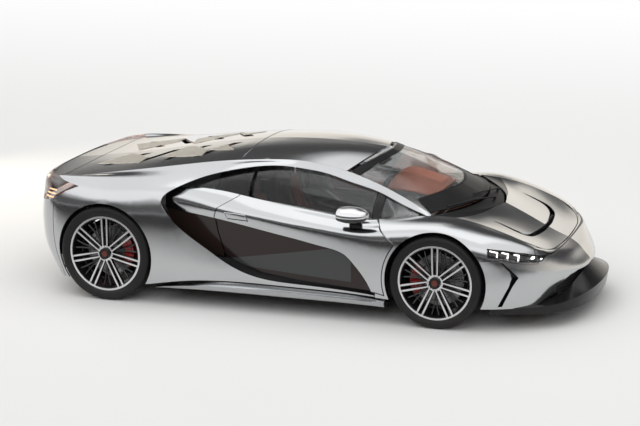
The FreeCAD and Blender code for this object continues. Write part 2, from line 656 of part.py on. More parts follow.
GRILLE_SHARES = [(0.000, 0.597), (0.508, 0.610), (0.670, 0.563), (0.569, 0.375), (0.467, 0.333),
                 (0.000, 0.316)]
DIFFUSER_WIDTH_SHARE = 0.54
DIFFUSER_TOP_SHARE = 0.262


def rear_bumper():
    """Tail skin from one wing to the other, open for the lamps and the grille."""
    gap = seam_gap / (along(0) - along(1)) / 2
    panel = slab(side_skin.grid((tail_seam + gap, 1 - tail_seam - gap, 0, 1), (34, 14)),
                 Vector(1, 0, 0), 0, side_wall, ["first"])
    lamp = raised(grown(tail_lamp_outline, seam_gap), NEAR, lamp_reach)
    panel = panel.cut(lamp).cut(mirrored(lamp))
    grille = front_prism(both_widths(GRILLE_SHARES), along(2) - overrun, along(2) + 4 * overrun)
    reach = DIFFUSER_WIDTH_SHARE * half_width + seam_gap
    foot = box((along(2) - overrun, rear_axle), (-reach, reach), (0, DIFFUSER_TOP_SHARE * height + seam_gap))
    return panel.cut(grille).cut(foot).cut(rear_arch_cut).cut(mirrored(rear_arch_cut))


def tail_lamps():
    """Lenses flush with the skin at both rear corners."""
    window = (tail_seam * TAIL_LAMP_START_SHARE, HALF, 0, LAMP_LEVEL)
    lens = slab(side_skin.grid(window, (24, 10)), INBOARD, 0, side_wall, ["first"])
    lens = lens.common(raised(tail_lamp_outline, NEAR, lamp_reach - seam_gap))
    return lens


# Region of the front bumper, seen from the side
SPLIT_SHARES = [(0.000, 0.017), (0.000, 0.453), (-0.455, 0.463), (-0.573, 0.433), (-0.674, 0.416),
                (-0.648, 0.478),
                (-0.610, 0.546), (-0.610, 0.683), (-1.174, 0.683), (-1.174, 0.017)]
SLIT_SHARES = [(-0.460, 0.452), (-0.521, 0.395), (-0.565, 0.350), (-0.528, 0.294), (-0.462, 0.166),
               (-0.434, 0.166),
               (-0.505, 0.294), (-0.522, 0.348), (-0.505, 0.391), (-0.454, 0.448)]
INTAKE_SHARES = [(0.000, 0.300), (0.122, 0.296), (0.305, 0.303), (0.416, 0.293), (0.508, 0.263),
                 (0.609, 0.211),
                 (0.690, 0.171), (0.746, 0.152), (0.761, 0.017), (0.000, 0.017)]
NOSE_START_SHARE = 0.28
WING_END_SHARE = 0.86
INTAKE_START_STATION = -0.55
SLIT_INNER_SHARE = 0.6
HEADLAMP_WINDOW_SHARES = (0.36, 0.9)


def front_wing():
    """Right front wing: crown, wheel arch and the band behind the wheel."""
    window = (0, HALF * WING_END_SHARE, 0, 1)
    panel = slab(front_skin.grid(window, (30, 16)), INBOARD, 0, side_wall, ["first"])
    panel = panel.cut(raised(grown(door_outline, shut_gap), NEAR, 0))
    panel = panel.cut(front_arch_cut)
    sill_front = along(LOOP_SHARES[-1][0]) + seam_gap
    panel = panel.cut(box((rear_axle, sill_front), (NEAR, 0), (0, DOOR_FOOT_SHARES[-1][1] * height)))
    split = raised(grown(real(SPLIT_SHARES), seam_gap), NEAR, 0)
    return panel.cut(split).cut(raised(grown(headlamp_outline, seam_gap), NEAR, 0))


def intake_space():
    """The opening under the nose, drawn out along the car."""
    return front_prism(both_widths(INTAKE_SHARES), along(INTAKE_START_STATION), along(-1) + overrun)


def front_bumper():
    """Nose skin from arch to arch, with a kinked slit in each cheek and the intake cut away."""
    start = HALF * NOSE_START_SHARE
    panel = slab(front_skin.grid((start, 1 - start, 0, 1), (44, 14)), Vector(-1, 0, 0), 0, side_wall,
                 ["first"])
    region = raised(real(SPLIT_SHARES), NEAR, -NEAR)
    panel = panel.common(region)
    intake = intake_space()
    slit = raised(real(SLIT_SHARES), NEAR, -half_width * SLIT_INNER_SHARE)
    lamp = raised(grown(headlamp_outline, seam_gap), NEAR, 0)
    for tool in (slit, lamp, front_arch_cut):
        panel = panel.cut(tool).cut(mirrored(tool))
    return panel.cut(intake)


def headlamp():
    """Right headlamp lens, flush between the wing and the bumper."""
    first, last = [HALF * share for share in HEADLAMP_WINDOW_SHARES]
    lens = slab(front_skin.grid((first, last, 0, LAMP_LEVEL), (22, 10)), INBOARD, 0, side_wall)
    return lens.common(raised(headlamp_outline, NEAR, 0))


def halves(right):
    """A panel over the centre plane, from its right half."""
    return right.fuse(mirrored(right)).removeSplitter()


def top_panel(skin, window, counts):
    """A roof or lid panel with a crease along its centre."""
    return halves(slab(skin.grid(window, counts), DOWN, 0, roof_wall, ["first", "last"]))


# Stations of the cross seams in the roof line
ROOF_REAR_STATION = 0.623
COVER_REAR_STATION = 1.601
EDGE_SPAN_SHARE = 0.65
SHUT_STEP_FACTOR = 1.6
DECK_STEP_FACTOR = 1.4
edge_inset = shut_gap / (half_width * EDGE_SPAN_SHARE)
edge_seat = fit_gap / (half_width * EDGE_SPAN_SHARE)
cover_front = top_skin.u_at(along(ROOF_REAR_STATION) - shut_gap / 2, 0)
cover_rear = top_skin.u_at(along(COVER_REAR_STATION), 0)
shut_step = shut_gap / (along(-1) - along(2)) * SHUT_STEP_FACTOR


def roof():
    """Roof skin between the windscreen and the engine cover, trimmed where the roof rails meet it."""
    panel = top_panel(top_skin, (0, cover_front - shut_step, 0, 1 - edge_seat), (16, 9))
    rail = slab(side_skin.grid((0, tail_seam, 0, 1), (40, 18)), INBOARD, 0, side_wall, ["first"])
    for tool in (rail, rail.translated(INBOARD * fit_gap)):
        panel = panel.cut(tool).cut(mirrored(tool))
    return panel


# Air outlets through the engine cover: nested slats on each side of a raised spine
SLAT_STATIONS = [0.683, 0.781, 0.879, 0.977]
SLAT_LENGTH_SHARE = 0.0575
SLAT_SWEEPS = (0.55, 1.9, 1.5)
SLAT_START_SHARE = 0.7
SLAT_INNER_SHARE = 0.12
SLAT_OUTER_SHARE = 0.47


def engine_cover():
    """Rear lid with four swept air slots on each side."""
    panel = top_panel(top_skin, (cover_front + shut_step, cover_rear, 0, 1 - edge_inset), (28, 9))
    for station in SLAT_STATIONS:
        front = along(station)
        length = wheelbase * SLAT_LENGTH_SHARE
        inner_sweep, rear_sweep, front_sweep = [length * sweep for sweep in SLAT_SWEEPS]
        inner = half_width * SLAT_INNER_SHARE
        outer = half_width * SLAT_OUTER_SHARE
        outline = [(front, inner), (front - inner_sweep, inner), (front - rear_sweep, outer),
                   (front - front_sweep, outer)]
        slot = prism([Vector(x, -w, height * SLAT_START_SHARE) for x, w in outline], Vector(0, 0, height))
        panel = panel.cut(slot).cut(mirrored(slot))
    return panel


def tail_deck():
    """Fixed deck between the engine cover and the tail edge."""
    window = (cover_rear + shut_step * DECK_STEP_FACTOR, 1 - shut_step / 2, 0, 1 - edge_seat)
    return top_panel(top_skin, window, (8, 9))


LID_REAR_STATION = 0.06
LID_EDGE_COUNT = 18

# U-shaped vent in the front lid, in plan: its front and rear edges from the centre to the tip
VENT_FRONT_SHARES = [(-0.590, 0.000), (-0.587, 0.121), (-0.569, 0.290), (-0.540, 0.407), (-0.483, 0.462),
                     (-0.375, 0.472),
                     (-0.282, 0.478)]
VENT_REAR_SHARES = [(-0.562, 0.000), (-0.556, 0.103), (-0.538, 0.250), (-0.512, 0.362), (-0.462, 0.425),
                    (-0.375, 0.444),
                    (-0.282, 0.478)]


def vent_tool():
    """Everything above and below the vent."""
    edges = []
    for line in (VENT_FRONT_SHARES, VENT_REAR_SHARES):
        whole = [(s, -w) for s, w in reversed(line[1:])] + line
        edges.append(spline_edge([Vector(along(s), w * half_width, 0) for s, w in whole]))
    return Part.Face(Part.Wire(edges)).extrude(Vector(0, 0, height))


def lid_tool():
    """Everything above the front lid's opening, less the shut gap."""
    start = front_skin.u_at(along(LID_REAR_STATION), 0, HALF)
    edge = [front_skin.at(start + (HALF - start) * i / LID_EDGE_COUNT, 0) for i in range(LID_EDGE_COUNT + 1)]
    outline = [(p.x, p.y) for p in edge] + [(p.x, -p.y) for p in reversed(edge[:-1])]
    points = [Vector(x, y, 0) for x, y in grown(outline, -shut_gap)]
    wire = Part.Wire([spline_edge(points), Part.LineSegment(points[-1], points[0]).toShape()])
    return Part.Face(wire).extrude(Vector(0, 0, height))


def front_lid():
    """Front lid with a centre crease and a U-shaped air outlet."""
    panel = top_panel(lid_skin, (0, 1, 0, 1 - edge_seat), (16, 11)).common(lid_tool())
    return panel.cut(vent_tool())


# Cowl between the lid and the windscreen
COWL_SHARES = [
    [(-0.257, 0.000, 0.639), (-0.186, 0.274, 0.649), (-0.050, 0.508, 0.659), (0.040, 0.660, 0.665)],
    [(-0.133, 0.000, 0.666), (-0.100, 0.244, 0.669), (-0.021, 0.467, 0.668), (0.042, 0.642, 0.662)],
]
cowl_skin = Skin(lines_of(COWL_SHARES, RIGHT))


def cowl_panel():
    """Black scuttle panel under the wipers."""
    grid = cowl_skin.grid((0, 1, 0, 1), (9, 4))
    right = slab(grid, DOWN, 0, roof_wall)
    right = right.common(box((along(1), along(-1)), (-half_width, 0), (0, height)))
    return halves(right)


SCREEN_WINDOW = (0.008, 0.985, 0, 1)


def windscreen():
    """Bonded laminated screen with a soft centre crease."""
    grid = screen_skin.grid(SCREEN_WINDOW, (10, 9))
    return halves(slab(grid, DOWN, 0, size("glass_wall"), ["first"]))


def glass(first, last, low=0.0, high=1.0):
    """A pane of the right side glass between two length positions."""
    u0 = glass_skin.u_at(first, 0)
    u1 = glass_skin.u_at(last, 0)
    return slab(glass_skin.grid((u0, u1, low, high), (12, 6)), INBOARD, 0, size("glass_wall"))


DOOR_GLASS_STATIONS = [0.200, 0.558]
QUARTER_WINDOW = (0, 0.4, 0, 1)
QUARTER_GLASS_STATIONS = [0.570, 0.781]
FRONT_GLASS_STATIONS = [0.075, 0.179]
PANE_INSET_SHARE = 0.08


def door_glass():
    """Right door window."""
    return glass(*[along(s) for s in DOOR_GLASS_STATIONS])


def quarter_glass():
    """Fixed right window behind the door, trimmed where it stands in the quarter panel."""
    wall = size("door_skin")
    seat = slab(door_skin.grid(QUARTER_WINDOW, (12, 12)), INBOARD, -fit_gap, wall + 2 * fit_gap)
    return glass(*[along(s) for s in QUARTER_GLASS_STATIONS]).cut(seat)


def front_glass():
    """Fixed right triangle ahead of the door window."""
    return glass(*[along(s) for s in FRONT_GLASS_STATIONS], PANE_INSET_SHARE, 1 - PANE_INSET_SHARE)


def waist_tool(margin=0.0):
    """Everything of a door below its waist line, moved up by a margin."""
    line = [Vector(along(s), NEAR, z * height + margin) for s, z in WAIST_SHARES]
    closing = [Vector(along(s), NEAR, z * height) for s, z in WAIST_CLOSING_SHARES]
    closing[0].x = line[-1].x
    closing[1].x = line[0].x
    wire = Part.Wire([spline_edge(line)] + Part.makePolygon([line[-1]] + closing + [line[0]]).Edges)
    return Part.Face(wire).extrude(Vector(0, half_width, 0))


MITRED = 2
DOOR_POCKET_SHARE = 0.62
DOOR_POCKET_TOP = 0.3
DOOR_BLOCK_TOP = 0.04


def door_prism(inset):
    """Everything inside the door's outline less an inset, which is negative outside it."""
    points = [Vector(x, NEAR, z) for x, z in door_outline]
    outline = Part.Face(Part.makePolygon(points + points[:1])).makeOffset2D(-inset, MITRED)
    return outline.extrude(Vector(0, half_width, 0))


def door_layer(start, depth, inset):
    """A layer under the door's surface, cut to the door's outline less an inset."""
    return slab(door_skin.grid((0, 1, 0, 1), (24, 14)), INBOARD, start, depth).common(door_prism(inset))


def door_block(start, depth, inset, top=0.0):
    """The door's surface below a top line, inside an inset outline, drawn inward from a start to a depth."""
    surface = sheet_face(door_skin.grid((0, 1, top, 1), (24, 14))).toShape()
    surface.translate(INBOARD * start)
    return surface.common(door_prism(inset)).Faces[0].extrude(INBOARD * (depth - start))


def door():
    """Right door: an upper skin on a box that is cut back for the dark panel and hollowed inside."""
    skin_wall = size("door_skin")
    depth = size("door_depth")
    flange = size("door_flange")
    skin = door_layer(0, skin_wall, fit_gap).cut(waist_tool())
    block = door_block(skin_wall / 2, depth, flange, DOOR_BLOCK_TOP)
    recess = door_block(-overrun, skin_wall * 2 + fit_gap, -flange).common(waist_tool(flange))
    pocket = door_block(depth * DOOR_POCKET_SHARE, depth + overrun, flange * 3, DOOR_POCKET_TOP)
    ahead = slab(door_skin.grid((0, 1, 0, 1), (24, 14)), INBOARD, -skin_wall, 2 * skin_wall + fit_gap)
    sill = box((rear_axle, front_axle), (-tub_side - shut_gap, 0), (0, sill_top + shut_gap))
    frame = block.cut(recess).cut(pocket).cut(ahead).cut(sill)
    return Part.makeCompound(skin.Solids + frame.Solids)


def door_panel():
    """Dark lower panel set into the right door."""
    skin_wall = size("door_skin")
    panel = door_block(skin_wall + 2 * fit_gap, 2 * skin_wall - fit_gap, size("seam_gap"))
    return panel.common(waist_tool(size("door_flange") - size("seam_gap")))


QUARTER_FOOT_SHARE = 0.345


def quarter_outline(gap):
    """Side view of the fixed panel, from the door's rear edge to the tip of the side frame."""
    rear = [(x - gap, z) for x, z in reversed(real(DOOR_FOOT_SHARES[-1:] + DOOR_REAR_SHARES))]
    tip = along(DOOR_SHARES[0][0][0])
    foot = height * QUARTER_FOOT_SHARE
    return rear + [(rear[-1][0] - gap, foot), (tip, foot), (tip, height)]


def quarter_panel():
    """Right rear quarter panel ahead of the air intake."""
    panel = slab(door_skin.grid(QUARTER_WINDOW, (12, 12)), INBOARD, 0, size("door_skin"))
    return panel.common(raised(quarter_outline(shut_gap), NEAR, 0)).cut(waist_tool())


def intake_panel():
    """Dark panel below it that leads into the air intake."""
    wall = size("door_skin")
    panel = slab(door_skin.grid(QUARTER_WINDOW, (12, 12)), INBOARD, wall + fit_gap, wall)
    return panel.common(raised(quarter_outline(shut_gap), NEAR, 0))


SKIRT_SHARES = [
    [(0.840, 0.959, 0.128), (0.763, 0.959, 0.159), (0.669, 0.959, 0.183), (0.546, 0.959, 0.189),
     (0.394, 0.959, 0.184),
     (0.245, 0.959, 0.175), (0.145, 0.959, 0.162)],
    [(0.840, 0.995, 0.126), (0.763, 0.999, 0.147), (0.669, 1.000, 0.162), (0.546, 1.000, 0.167),
     (0.394, 1.000, 0.164),
     (0.245, 1.000, 0.155), (0.145, 0.995, 0.147)],
    [(0.840, 0.981, 0.119), (0.763, 0.983, 0.126), (0.669, 0.983, 0.130), (0.546, 0.983, 0.130),
     (0.394, 0.983, 0.128),
     (0.245, 0.983, 0.125), (0.145, 0.981, 0.119)],
    [(0.840, 0.859, 0.102), (0.763, 0.859, 0.102), (0.669, 0.859, 0.102), (0.546, 0.859, 0.102),
     (0.394, 0.859, 0.102),
     (0.245, 0.859, 0.102), (0.145, 0.859, 0.102)],
]


def side_skirt():
    """Right sill cover."""
    return beam(lines_of(SKIRT_SHARES, RIGHT))


# Splitter under the nose: rear foot, lower lip, upper lip, root, right half
SPLITTER_SHARES = [
    [(-0.371, 0.812, 0.092), (-0.610, 0.711, 0.092), (-0.732, 0.609, 0.092), (-0.808, 0.457, 0.092),
     (-0.845, 0.223, 0.092), (-0.854, 0.000, 0.092)],
    [(-0.371, 0.898, 0.109), (-0.629, 0.802, 0.106), (-0.765, 0.711, 0.103), (-0.887, 0.548, 0.102),
     (-0.962, 0.284, 0.101),
     (-0.977, 0.000, 0.101)],
    [(-0.371, 0.909, 0.153), (-0.629, 0.817, 0.154), (-0.775, 0.711, 0.158), (-0.906, 0.523, 0.175),
     (-0.981, 0.264, 0.189),
     (-1.000, 0.000, 0.192)],
    [(-0.371, 0.812, 0.153), (-0.610, 0.711, 0.154), (-0.732, 0.589, 0.168), (-0.826, 0.426, 0.213),
     (-0.878, 0.223, 0.269),
     (-0.892, 0.000, 0.282)],
]


# Levels on the nose skin where the splitter's groove and the intake liner start, and their depths
FOOT_LEVEL = 0.6
INTAKE_LINER_START_SHARE = 0.47
INTAKE_LINER_LEVEL = 0.55
INTAKE_LINER_DEPTH_FACTOR = 4
GRILLE_START_SHARE = 0.42
GRILLE_LEVELS = (0.40, 0.82)
GRILLE_DEPTH_FACTOR = 1.5


def front_splitter():
    """Splitter with a raised middle, grooved where the bumper's foot stands in it."""
    start = HALF * NOSE_START_SHARE
    foot = slab(front_skin.grid((start, 1 - start, FOOT_LEVEL, 1), (44, 8)), Vector(-1, 0, 0),
                -fit_gap, side_wall + 2 * fit_gap).cut(intake_space())
    lowered = foot.translated(DOWN * fit_gap)
    return beam(wrapped(SPLITTER_SHARES)).cut(foot).cut(lowered)


def intake_liner():
    """Black liner behind the front intakes and the cheek slits."""
    start = HALF * INTAKE_LINER_START_SHARE
    return slab(front_skin.grid((start, 1 - start, INTAKE_LINER_LEVEL, 1), (26, 8)), Vector(-1, 0, 0),
                side_wall * INTAKE_LINER_DEPTH_FACTOR, size("liner_wall"))


def rear_grille():
    """Dark panel behind the opening of the rear bumper."""
    start = tail_seam + (HALF - tail_seam) * GRILLE_START_SHARE
    return slab(side_skin.grid((start, 1 - start) + GRILLE_LEVELS, (20, 8)), Vector(1, 0, 0),
                side_wall * GRILLE_DEPTH_FACTOR, size("liner_wall"))


# Floor pan, sills and bulkheads, in plan and from the front
TUB_FLOOR_SHARES = [(0.683, 0.858), (0.192, 0.858), (0.170, 0.670), (0.064, 0.447)]
FOOTWELL_SHARES = [(0.192, 0.858), (0.170, 0.670), (0.064, 0.447), (0.064, 0.421), (0.174, 0.645),
                   (0.200, 0.832)]
BULKHEAD_SHARES = [(0.000, 0.128), (0.812, 0.128), (0.812, 0.683), (0.609, 0.840), (0.305, 0.887),
                   (0.000, 0.900)]
LINER_RADIUS_FACTOR = 1.07
LINER_INNER_SHARE = 0.535
LINER_OUTER_SHARE = 0.83
REAR_LINER_OUTER_SHARE = 0.90
LINER_START = -8
FOOTWELL_TOP_SHARE = 0.427
FRONT_BULKHEAD_TOP_SHARE = 0.610

floor_height = size("floor_height")
floor_top = floor_height + size("floor_wall")
sill_top = floor_height + size("sill_height")
tub_rear = along(TUB_FLOOR_SHARES[0][0])
tub_front = along(TUB_FLOOR_SHARES[-1][0])
tub_side = TUB_FLOOR_SHARES[0][1] * half_width


def wheel_space():
    """Room of the right front wheel and its liner."""
    radius = front_arch * LINER_RADIUS_FACTOR + fit_gap
    inner = half_width * LINER_INNER_SHARE - fit_gap
    return across(radius, front_axle, size("front_tyre_radius"), NEAR, -inner)


def tub():
    """Cabin tub: floor, box sills, footwell sides and both bulkheads."""
    pieces = [plan_prism(both(TUB_FLOOR_SHARES), floor_height, floor_top)]
    footwell_top = FOOTWELL_TOP_SHARE * height
    front = box((tub_front - size("bulkhead_wall"), tub_front),
                (-TUB_FLOOR_SHARES[-1][1] * half_width, TUB_FLOOR_SHARES[-1][1] * half_width),
                (floor_height, FRONT_BULKHEAD_TOP_SHARE * height))
    pieces.append(front)
    sill_front = along(TUB_FLOOR_SHARES[1][0])
    for side in (RIGHT, LEFT):
        walls = [(s, side * w) for s, w in FOOTWELL_SHARES]
        pieces.append(plan_prism(walls, floor_height, footwell_top))
        near = min(side * tub_side, side * (tub_side - size("sill_width")))
        pieces.append(box((tub_rear, sill_front), (near, near + size("sill_width")), (floor_height, sill_top)))
    rear = front_prism(both_widths(BULKHEAD_SHARES), tub_rear, tub_rear + size("bulkhead_wall"))
    space = wheel_space()
    return fused(pieces + [rear]).cut(space).cut(mirrored(space))


UNDERTRAY_SHARES = [(-0.789, 0.000), (-0.770, 0.390), (-0.630, 0.640), (-0.385, 0.785), (-0.385, 0.508),
                    (0.155, 0.508), (0.155, 0.853), (0.834, 0.853),
                    (0.834, 0.569), (1.300, 0.569), (1.300, 0.000)]


def undertray():
    """Flat floor skin under the whole car, cut away at the wheels."""
    outline = UNDERTRAY_SHARES[1:-1]
    top = floor_height - fit_gap
    return plan_prism(both(outline), top - size("undertray_wall"), top)


# Rear diffuser, from the side, and its strakes
DIFFUSER_SHARES = [(1.280, 0.099), (1.601, 0.128), (1.825, 0.183), (1.881, 0.256), (1.860, 0.260),
                   (1.811, 0.198),
                   (1.601, 0.143), (1.280, 0.115)]
STRAKE_SHARES = [(1.318, 0.096), (1.783, 0.096), (1.874, 0.179), (1.825, 0.192), (1.601, 0.137),
                 (1.318, 0.111)]
STRAKE_PLACES_SHARE = (-0.45, -0.27, -0.09, 0.09, 0.27, 0.45)
STRAKE_WALL_SHARE = 0.008


def rear_diffuser():
    """Upswept floor under the tail with six strakes."""
    width = DIFFUSER_WIDTH_SHARE * half_width
    pieces = [side_prism(DIFFUSER_SHARES, -width, width)]
    for share in STRAKE_PLACES_SHARE:
        middle = share * half_width
        wall = STRAKE_WALL_SHARE * half_width
        pieces.append(side_prism(STRAKE_SHARES, middle - wall / 2, middle + wall / 2))
    shape = fused(pieces)
    shape.translate(Vector(0, 0, floor_height - DIFFUSER_SHARES[0][1] * height))
    return shape


EXHAUST_SHARES = [(1.937, 0.388), (1.671, 0.388)]
EXHAUST_SPREAD_SHARE = 0.13
EXHAUST_BORE_SHARE = 0.8


def exhaust_tips():
    """Two round tips in the middle of the tail, open at the rear."""
    tips = []
    radius = size("exhaust_radius")
    (rear, z), (front, _) = real(EXHAUST_SHARES)
    for side in (RIGHT, LEFT):
        y = side * EXHAUST_SPREAD_SHARE * half_width
        tube = Part.makeCylinder(radius, front - rear, Vector(rear, y, z), Vector(1, 0, 0))
        bore = Part.makeCylinder(radius - size("exhaust_wall"), (front - rear) * EXHAUST_BORE_SHARE,
                                 Vector(rear, y, z), Vector(1, 0, 0))
        tips.append(tube.cut(bore))
    return Part.makeCompound(tips)


# Luggage well under the front lid, from the side
WELL_SHARES = [(0.038, 0.150), (0.038, 0.627), (-0.094, 0.625), (-0.254, 0.597), (-0.404, 0.546),
               (-0.516, 0.497), (-0.535, 0.488),
               (-0.535, 0.150)]
WELL_WIDTH_SHARE = 0.42
WELL_WALL_SHARE = 0.012


def luggage_well():
    """Open tub under the front lid."""
    width = WELL_WIDTH_SHARE * half_width
    wall = WELL_WALL_SHARE * half_width
    outline = real(WELL_SHARES)
    outer = raised(outline, -width, width)
    inner = [(x + wall, z + wall) for x, z in outline[:1]] + [(outline[1][0] + wall, height)]
    inner += [(outline[-1][0] - wall, height), (outline[-1][0] - wall, outline[-1][1] + wall)]
    return outer.cut(raised(inner, wall - width, width - wall))


ENGINE_SHARES = [(0.706, 0.145), (0.706, 0.597), (0.736, 0.683), (0.887, 0.666), (0.913, 0.512),
                 (0.913, 0.145)]
ENGINE_WIDTH_SHARE = 0.29
GEARBOX_SHARES = [(0.913, 0.171), (0.913, 0.444), (1.336, 0.392), (1.336, 0.205)]
GEARBOX_WIDTH_SHARE = 0.22


def engine_block():
    """Engine and gearbox as plain blocks."""
    engine = side_prism(ENGINE_SHARES, -ENGINE_WIDTH_SHARE * half_width, ENGINE_WIDTH_SHARE * half_width)
    gearbox = side_prism(GEARBOX_SHARES, -GEARBOX_WIDTH_SHARE * half_width, GEARBOX_WIDTH_SHARE * half_width)
    return engine.fuse(gearbox).removeSplitter()


# Bucket seat, from the side: cushion and back, then the taller side bolsters
SEAT_SHARES = [(0.336, 0.145), (0.328, 0.230), (0.343, 0.265), (0.434, 0.235), (0.506, 0.213),
               (0.536, 0.265), (0.608, 0.666), (0.619, 0.794),
               (0.642, 0.828), (0.660, 0.794), (0.649, 0.666), (0.592, 0.341), (0.562, 0.145)]
BOLSTER_SHARES = [(0.351, 0.145), (0.343, 0.247), (0.366, 0.294), (0.434, 0.286), (0.487, 0.290),
                  (0.521, 0.358), (0.570, 0.597), (0.608, 0.683),
                  (0.645, 0.683), (0.600, 0.341), (0.570, 0.145)]
SEAT_CENTRE_SHARE = 0.365
SEAT_HALF_SHARE = 0.17
BOLSTER_WIDTH_SHARE = 0.06


def seat():
    """Bucket seat with side bolsters, right side."""
    centre = -SEAT_CENTRE_SHARE * half_width
    half = SEAT_HALF_SHARE * half_width
    bolster = BOLSTER_WIDTH_SHARE * half_width
    pieces = [side_prism(SEAT_SHARES, centre - half, centre + half)]
    for inner in (centre - half - bolster, centre + half):
        pieces.append(side_prism(BOLSTER_SHARES, inner, inner + bolster))
    shape = fused(pieces)
    lift = floor_top + fit_gap - shape.BoundBox.ZMin
    shape.translate(Vector(0, 0, lift))
    return shape


# Dashboard edges from the right door to the centre: rear brow, screen edge, front foot, knee edge
DASH_SHARES = [
    [(0.228, 0.726, 0.597), (0.238, 0.406, 0.627), (0.257, 0.102, 0.619), (0.260, 0.000, 0.614)],
    [(0.200, 0.726, 0.636), (0.185, 0.406, 0.661), (0.177, 0.102, 0.661), (0.177, 0.000, 0.661)],
    [(0.155, 0.560, 0.627), (0.100, 0.406, 0.627), (0.097, 0.102, 0.627), (0.097, 0.000, 0.627)],
    [(0.155, 0.560, 0.431), (0.100, 0.406, 0.431), (0.097, 0.102, 0.431), (0.097, 0.000, 0.431)],
    [(0.200, 0.609, 0.431), (0.192, 0.406, 0.431), (0.208, 0.102, 0.431), (0.211, 0.000, 0.431)],
]
COLUMN_RADIUS_SHARE = 0.03
WHEEL_CENTRE_SHARE = (0.308, 0.365, 0.559)
WHEEL_TILT = 24
COLUMN_START_FACTOR = 2.2
COLUMN_LENGTH_SHARE = 0.1
WHEEL_HUB_SHARE = 0.28
WHEEL_HUB_DEPTH_FACTOR = 1.8
WHEEL_SPOKE_SHARES = (0.9, 0.2, 0.75)


def column_way():
    """Direction of the steering column, from the wheel towards the dashboard."""
    return Vector(cos(radians(WHEEL_TILT)), 0, -sin(radians(WHEEL_TILT)))


def dashboard():
    """Dashboard from door to door, with the steering column."""
    shape = beam(wrapped(DASH_SHARES))
    centre = place(WHEEL_CENTRE_SHARE)
    start = centre + column_way() * (size("steering_rim_radius") * COLUMN_START_FACTOR)
    column = Part.makeCylinder(COLUMN_RADIUS_SHARE * half_width, wheelbase * COLUMN_LENGTH_SHARE, start,
                               column_way())
    space = wheel_space()
    return shape.fuse(column).removeSplitter().cut(space).cut(mirrored(space))


def steering_wheel():
    """Rim, hub and three spokes."""
    centre = place(WHEEL_CENTRE_SHARE)
    way = column_way()
    radius = size("steering_wheel_radius")
    rim = size("steering_rim_radius")
    torus = Part.makeTorus(radius - rim, rim, centre, way)
    hub = Part.makeCylinder(radius * WHEEL_HUB_SHARE, rim * WHEEL_HUB_DEPTH_FACTOR, centre, way)
    up = Vector(sin(radians(WHEEL_TILT)), 0, cos(radians(WHEEL_TILT)))
    side = Vector(0, 1, 0)
    pieces = [torus, hub]
    lift, root, thick = WHEEL_SPOKE_SHARES
    for spoke in (side, side * -1, up * -1):
        start = centre + way * (rim * lift) + spoke * (radius * root)
        end = centre + spoke * (radius - rim)
        pieces.append(rod(start, end, rim * thick))
    return fused(pieces)


CONSOLE_SHARES = [(0.585, 0.128), (0.585, 0.307), (0.472, 0.341), (0.321, 0.367), (0.238, 0.422),
                  (0.200, 0.422), (0.200, 0.128)]
CONSOLE_WIDTH_SHARE = 0.10


def centre_console():
    """Tunnel console between the seats."""
    width = CONSOLE_WIDTH_SHARE * half_width
    shape = side_prism(CONSOLE_SHARES, -width, width)
    shape.translate(Vector(0, 0, floor_top + fit_gap - shape.BoundBox.ZMin))
    return shape


# Wheels: distances across the wheel are measured from its inner face outwards

BEAD_SHARE = 0.05
INSET_FACTORS = {"front": 1.2, "rear": 0.6}
WHEELS = []
for name, side in SIDES:
    WHEELS.append((name + "_front", "front", side, front_axle))
    WHEELS.append((name + "_rear", "rear", side, rear_axle))


def axle_height(axle):
    """Height of a wheel centre: the tyre's radius."""
    return size(axle + "_tyre_radius")


def wheel_face(axle):
    """Width position of the tyre's outer face."""
    return half_width - size("wheel_inset") * INSET_FACTORS[axle]


def out_at(axle, depth):
    """Width position of a plane that lies a depth inboard of the rim's face."""
    return wheel_face(axle) - size(axle + "_tyre_width") * BEAD_SHARE - depth


def bound_sketch(body, name, role, loops):
    """A sketch on an origin plane of a body, its corners bound to expressions."""
    sketch = body.newObject("Sketcher::SketchObject", name)
    plane = [f for f in body.Origin.OriginFeatures if f.Role == role][0]
    sketch.AttachmentSupport = (plane, [""])
    sketch.MapMode = "FlatFace"
    for loop in loops:
        corners = [Vector(body.evalExpression(a), body.evalExpression(b), 0) for a, b in loop]
        first = sketch.GeometryCount
        for i, corner in enumerate(corners):
            sketch.addGeometry(Part.LineSegment(corner, corners[(i + 1) % len(corners)]), False)
        for i in range(len(loop)):
            after = first + (i + 1) % len(loop)
            sketch.addConstraint(Sketcher.Constraint("Coincident", first + i, 2, after, 1))
        for i, (a, b) in enumerate(loop):
            spot = corners[i]
            for kind, value, text in (("DistanceX", spot.x, a), ("DistanceY", spot.y, b)):
                index = sketch.addConstraint(Sketcher.Constraint(kind, -1, 1, first + i, 1, value))
                sketch.setExpression("Constraints[%d]" % index, text)
    return sketch


def wheel_body(name, side, axle, x):
    """An empty body at a wheel's inner face, its Y axis pointing outboard."""
    body = doc.addObject("PartDesign::Body", name)
    body.Label = name
    turn = 180 if side == RIGHT else 0
    inner = side * (wheel_face(axle) - size(axle + "_tyre_width"))
    body.Placement = FreeCAD.Placement(Vector(x, inner, 0), FreeCAD.Rotation(Vector(0, 0, 1), turn))
    body.setExpression("Placement.Base.z", "Sizes.%s_tyre_radius" % axle)
    NODES.append(body)
    return body


def revolved(body, name, loops):
    """Turn outlines of (across, radius) expressions round the wheel's axis."""
    sketch = bound_sketch(body, name + "_profile", "YZ_Plane", loops)
    turn = body.newObject("PartDesign::Revolution", name + "_turn")
    turn.Profile = sketch
    turn.ReferenceAxis = (sketch, ["H_Axis"])
    turn.Angle = 360
    sketch.Visibility = False
    return turn


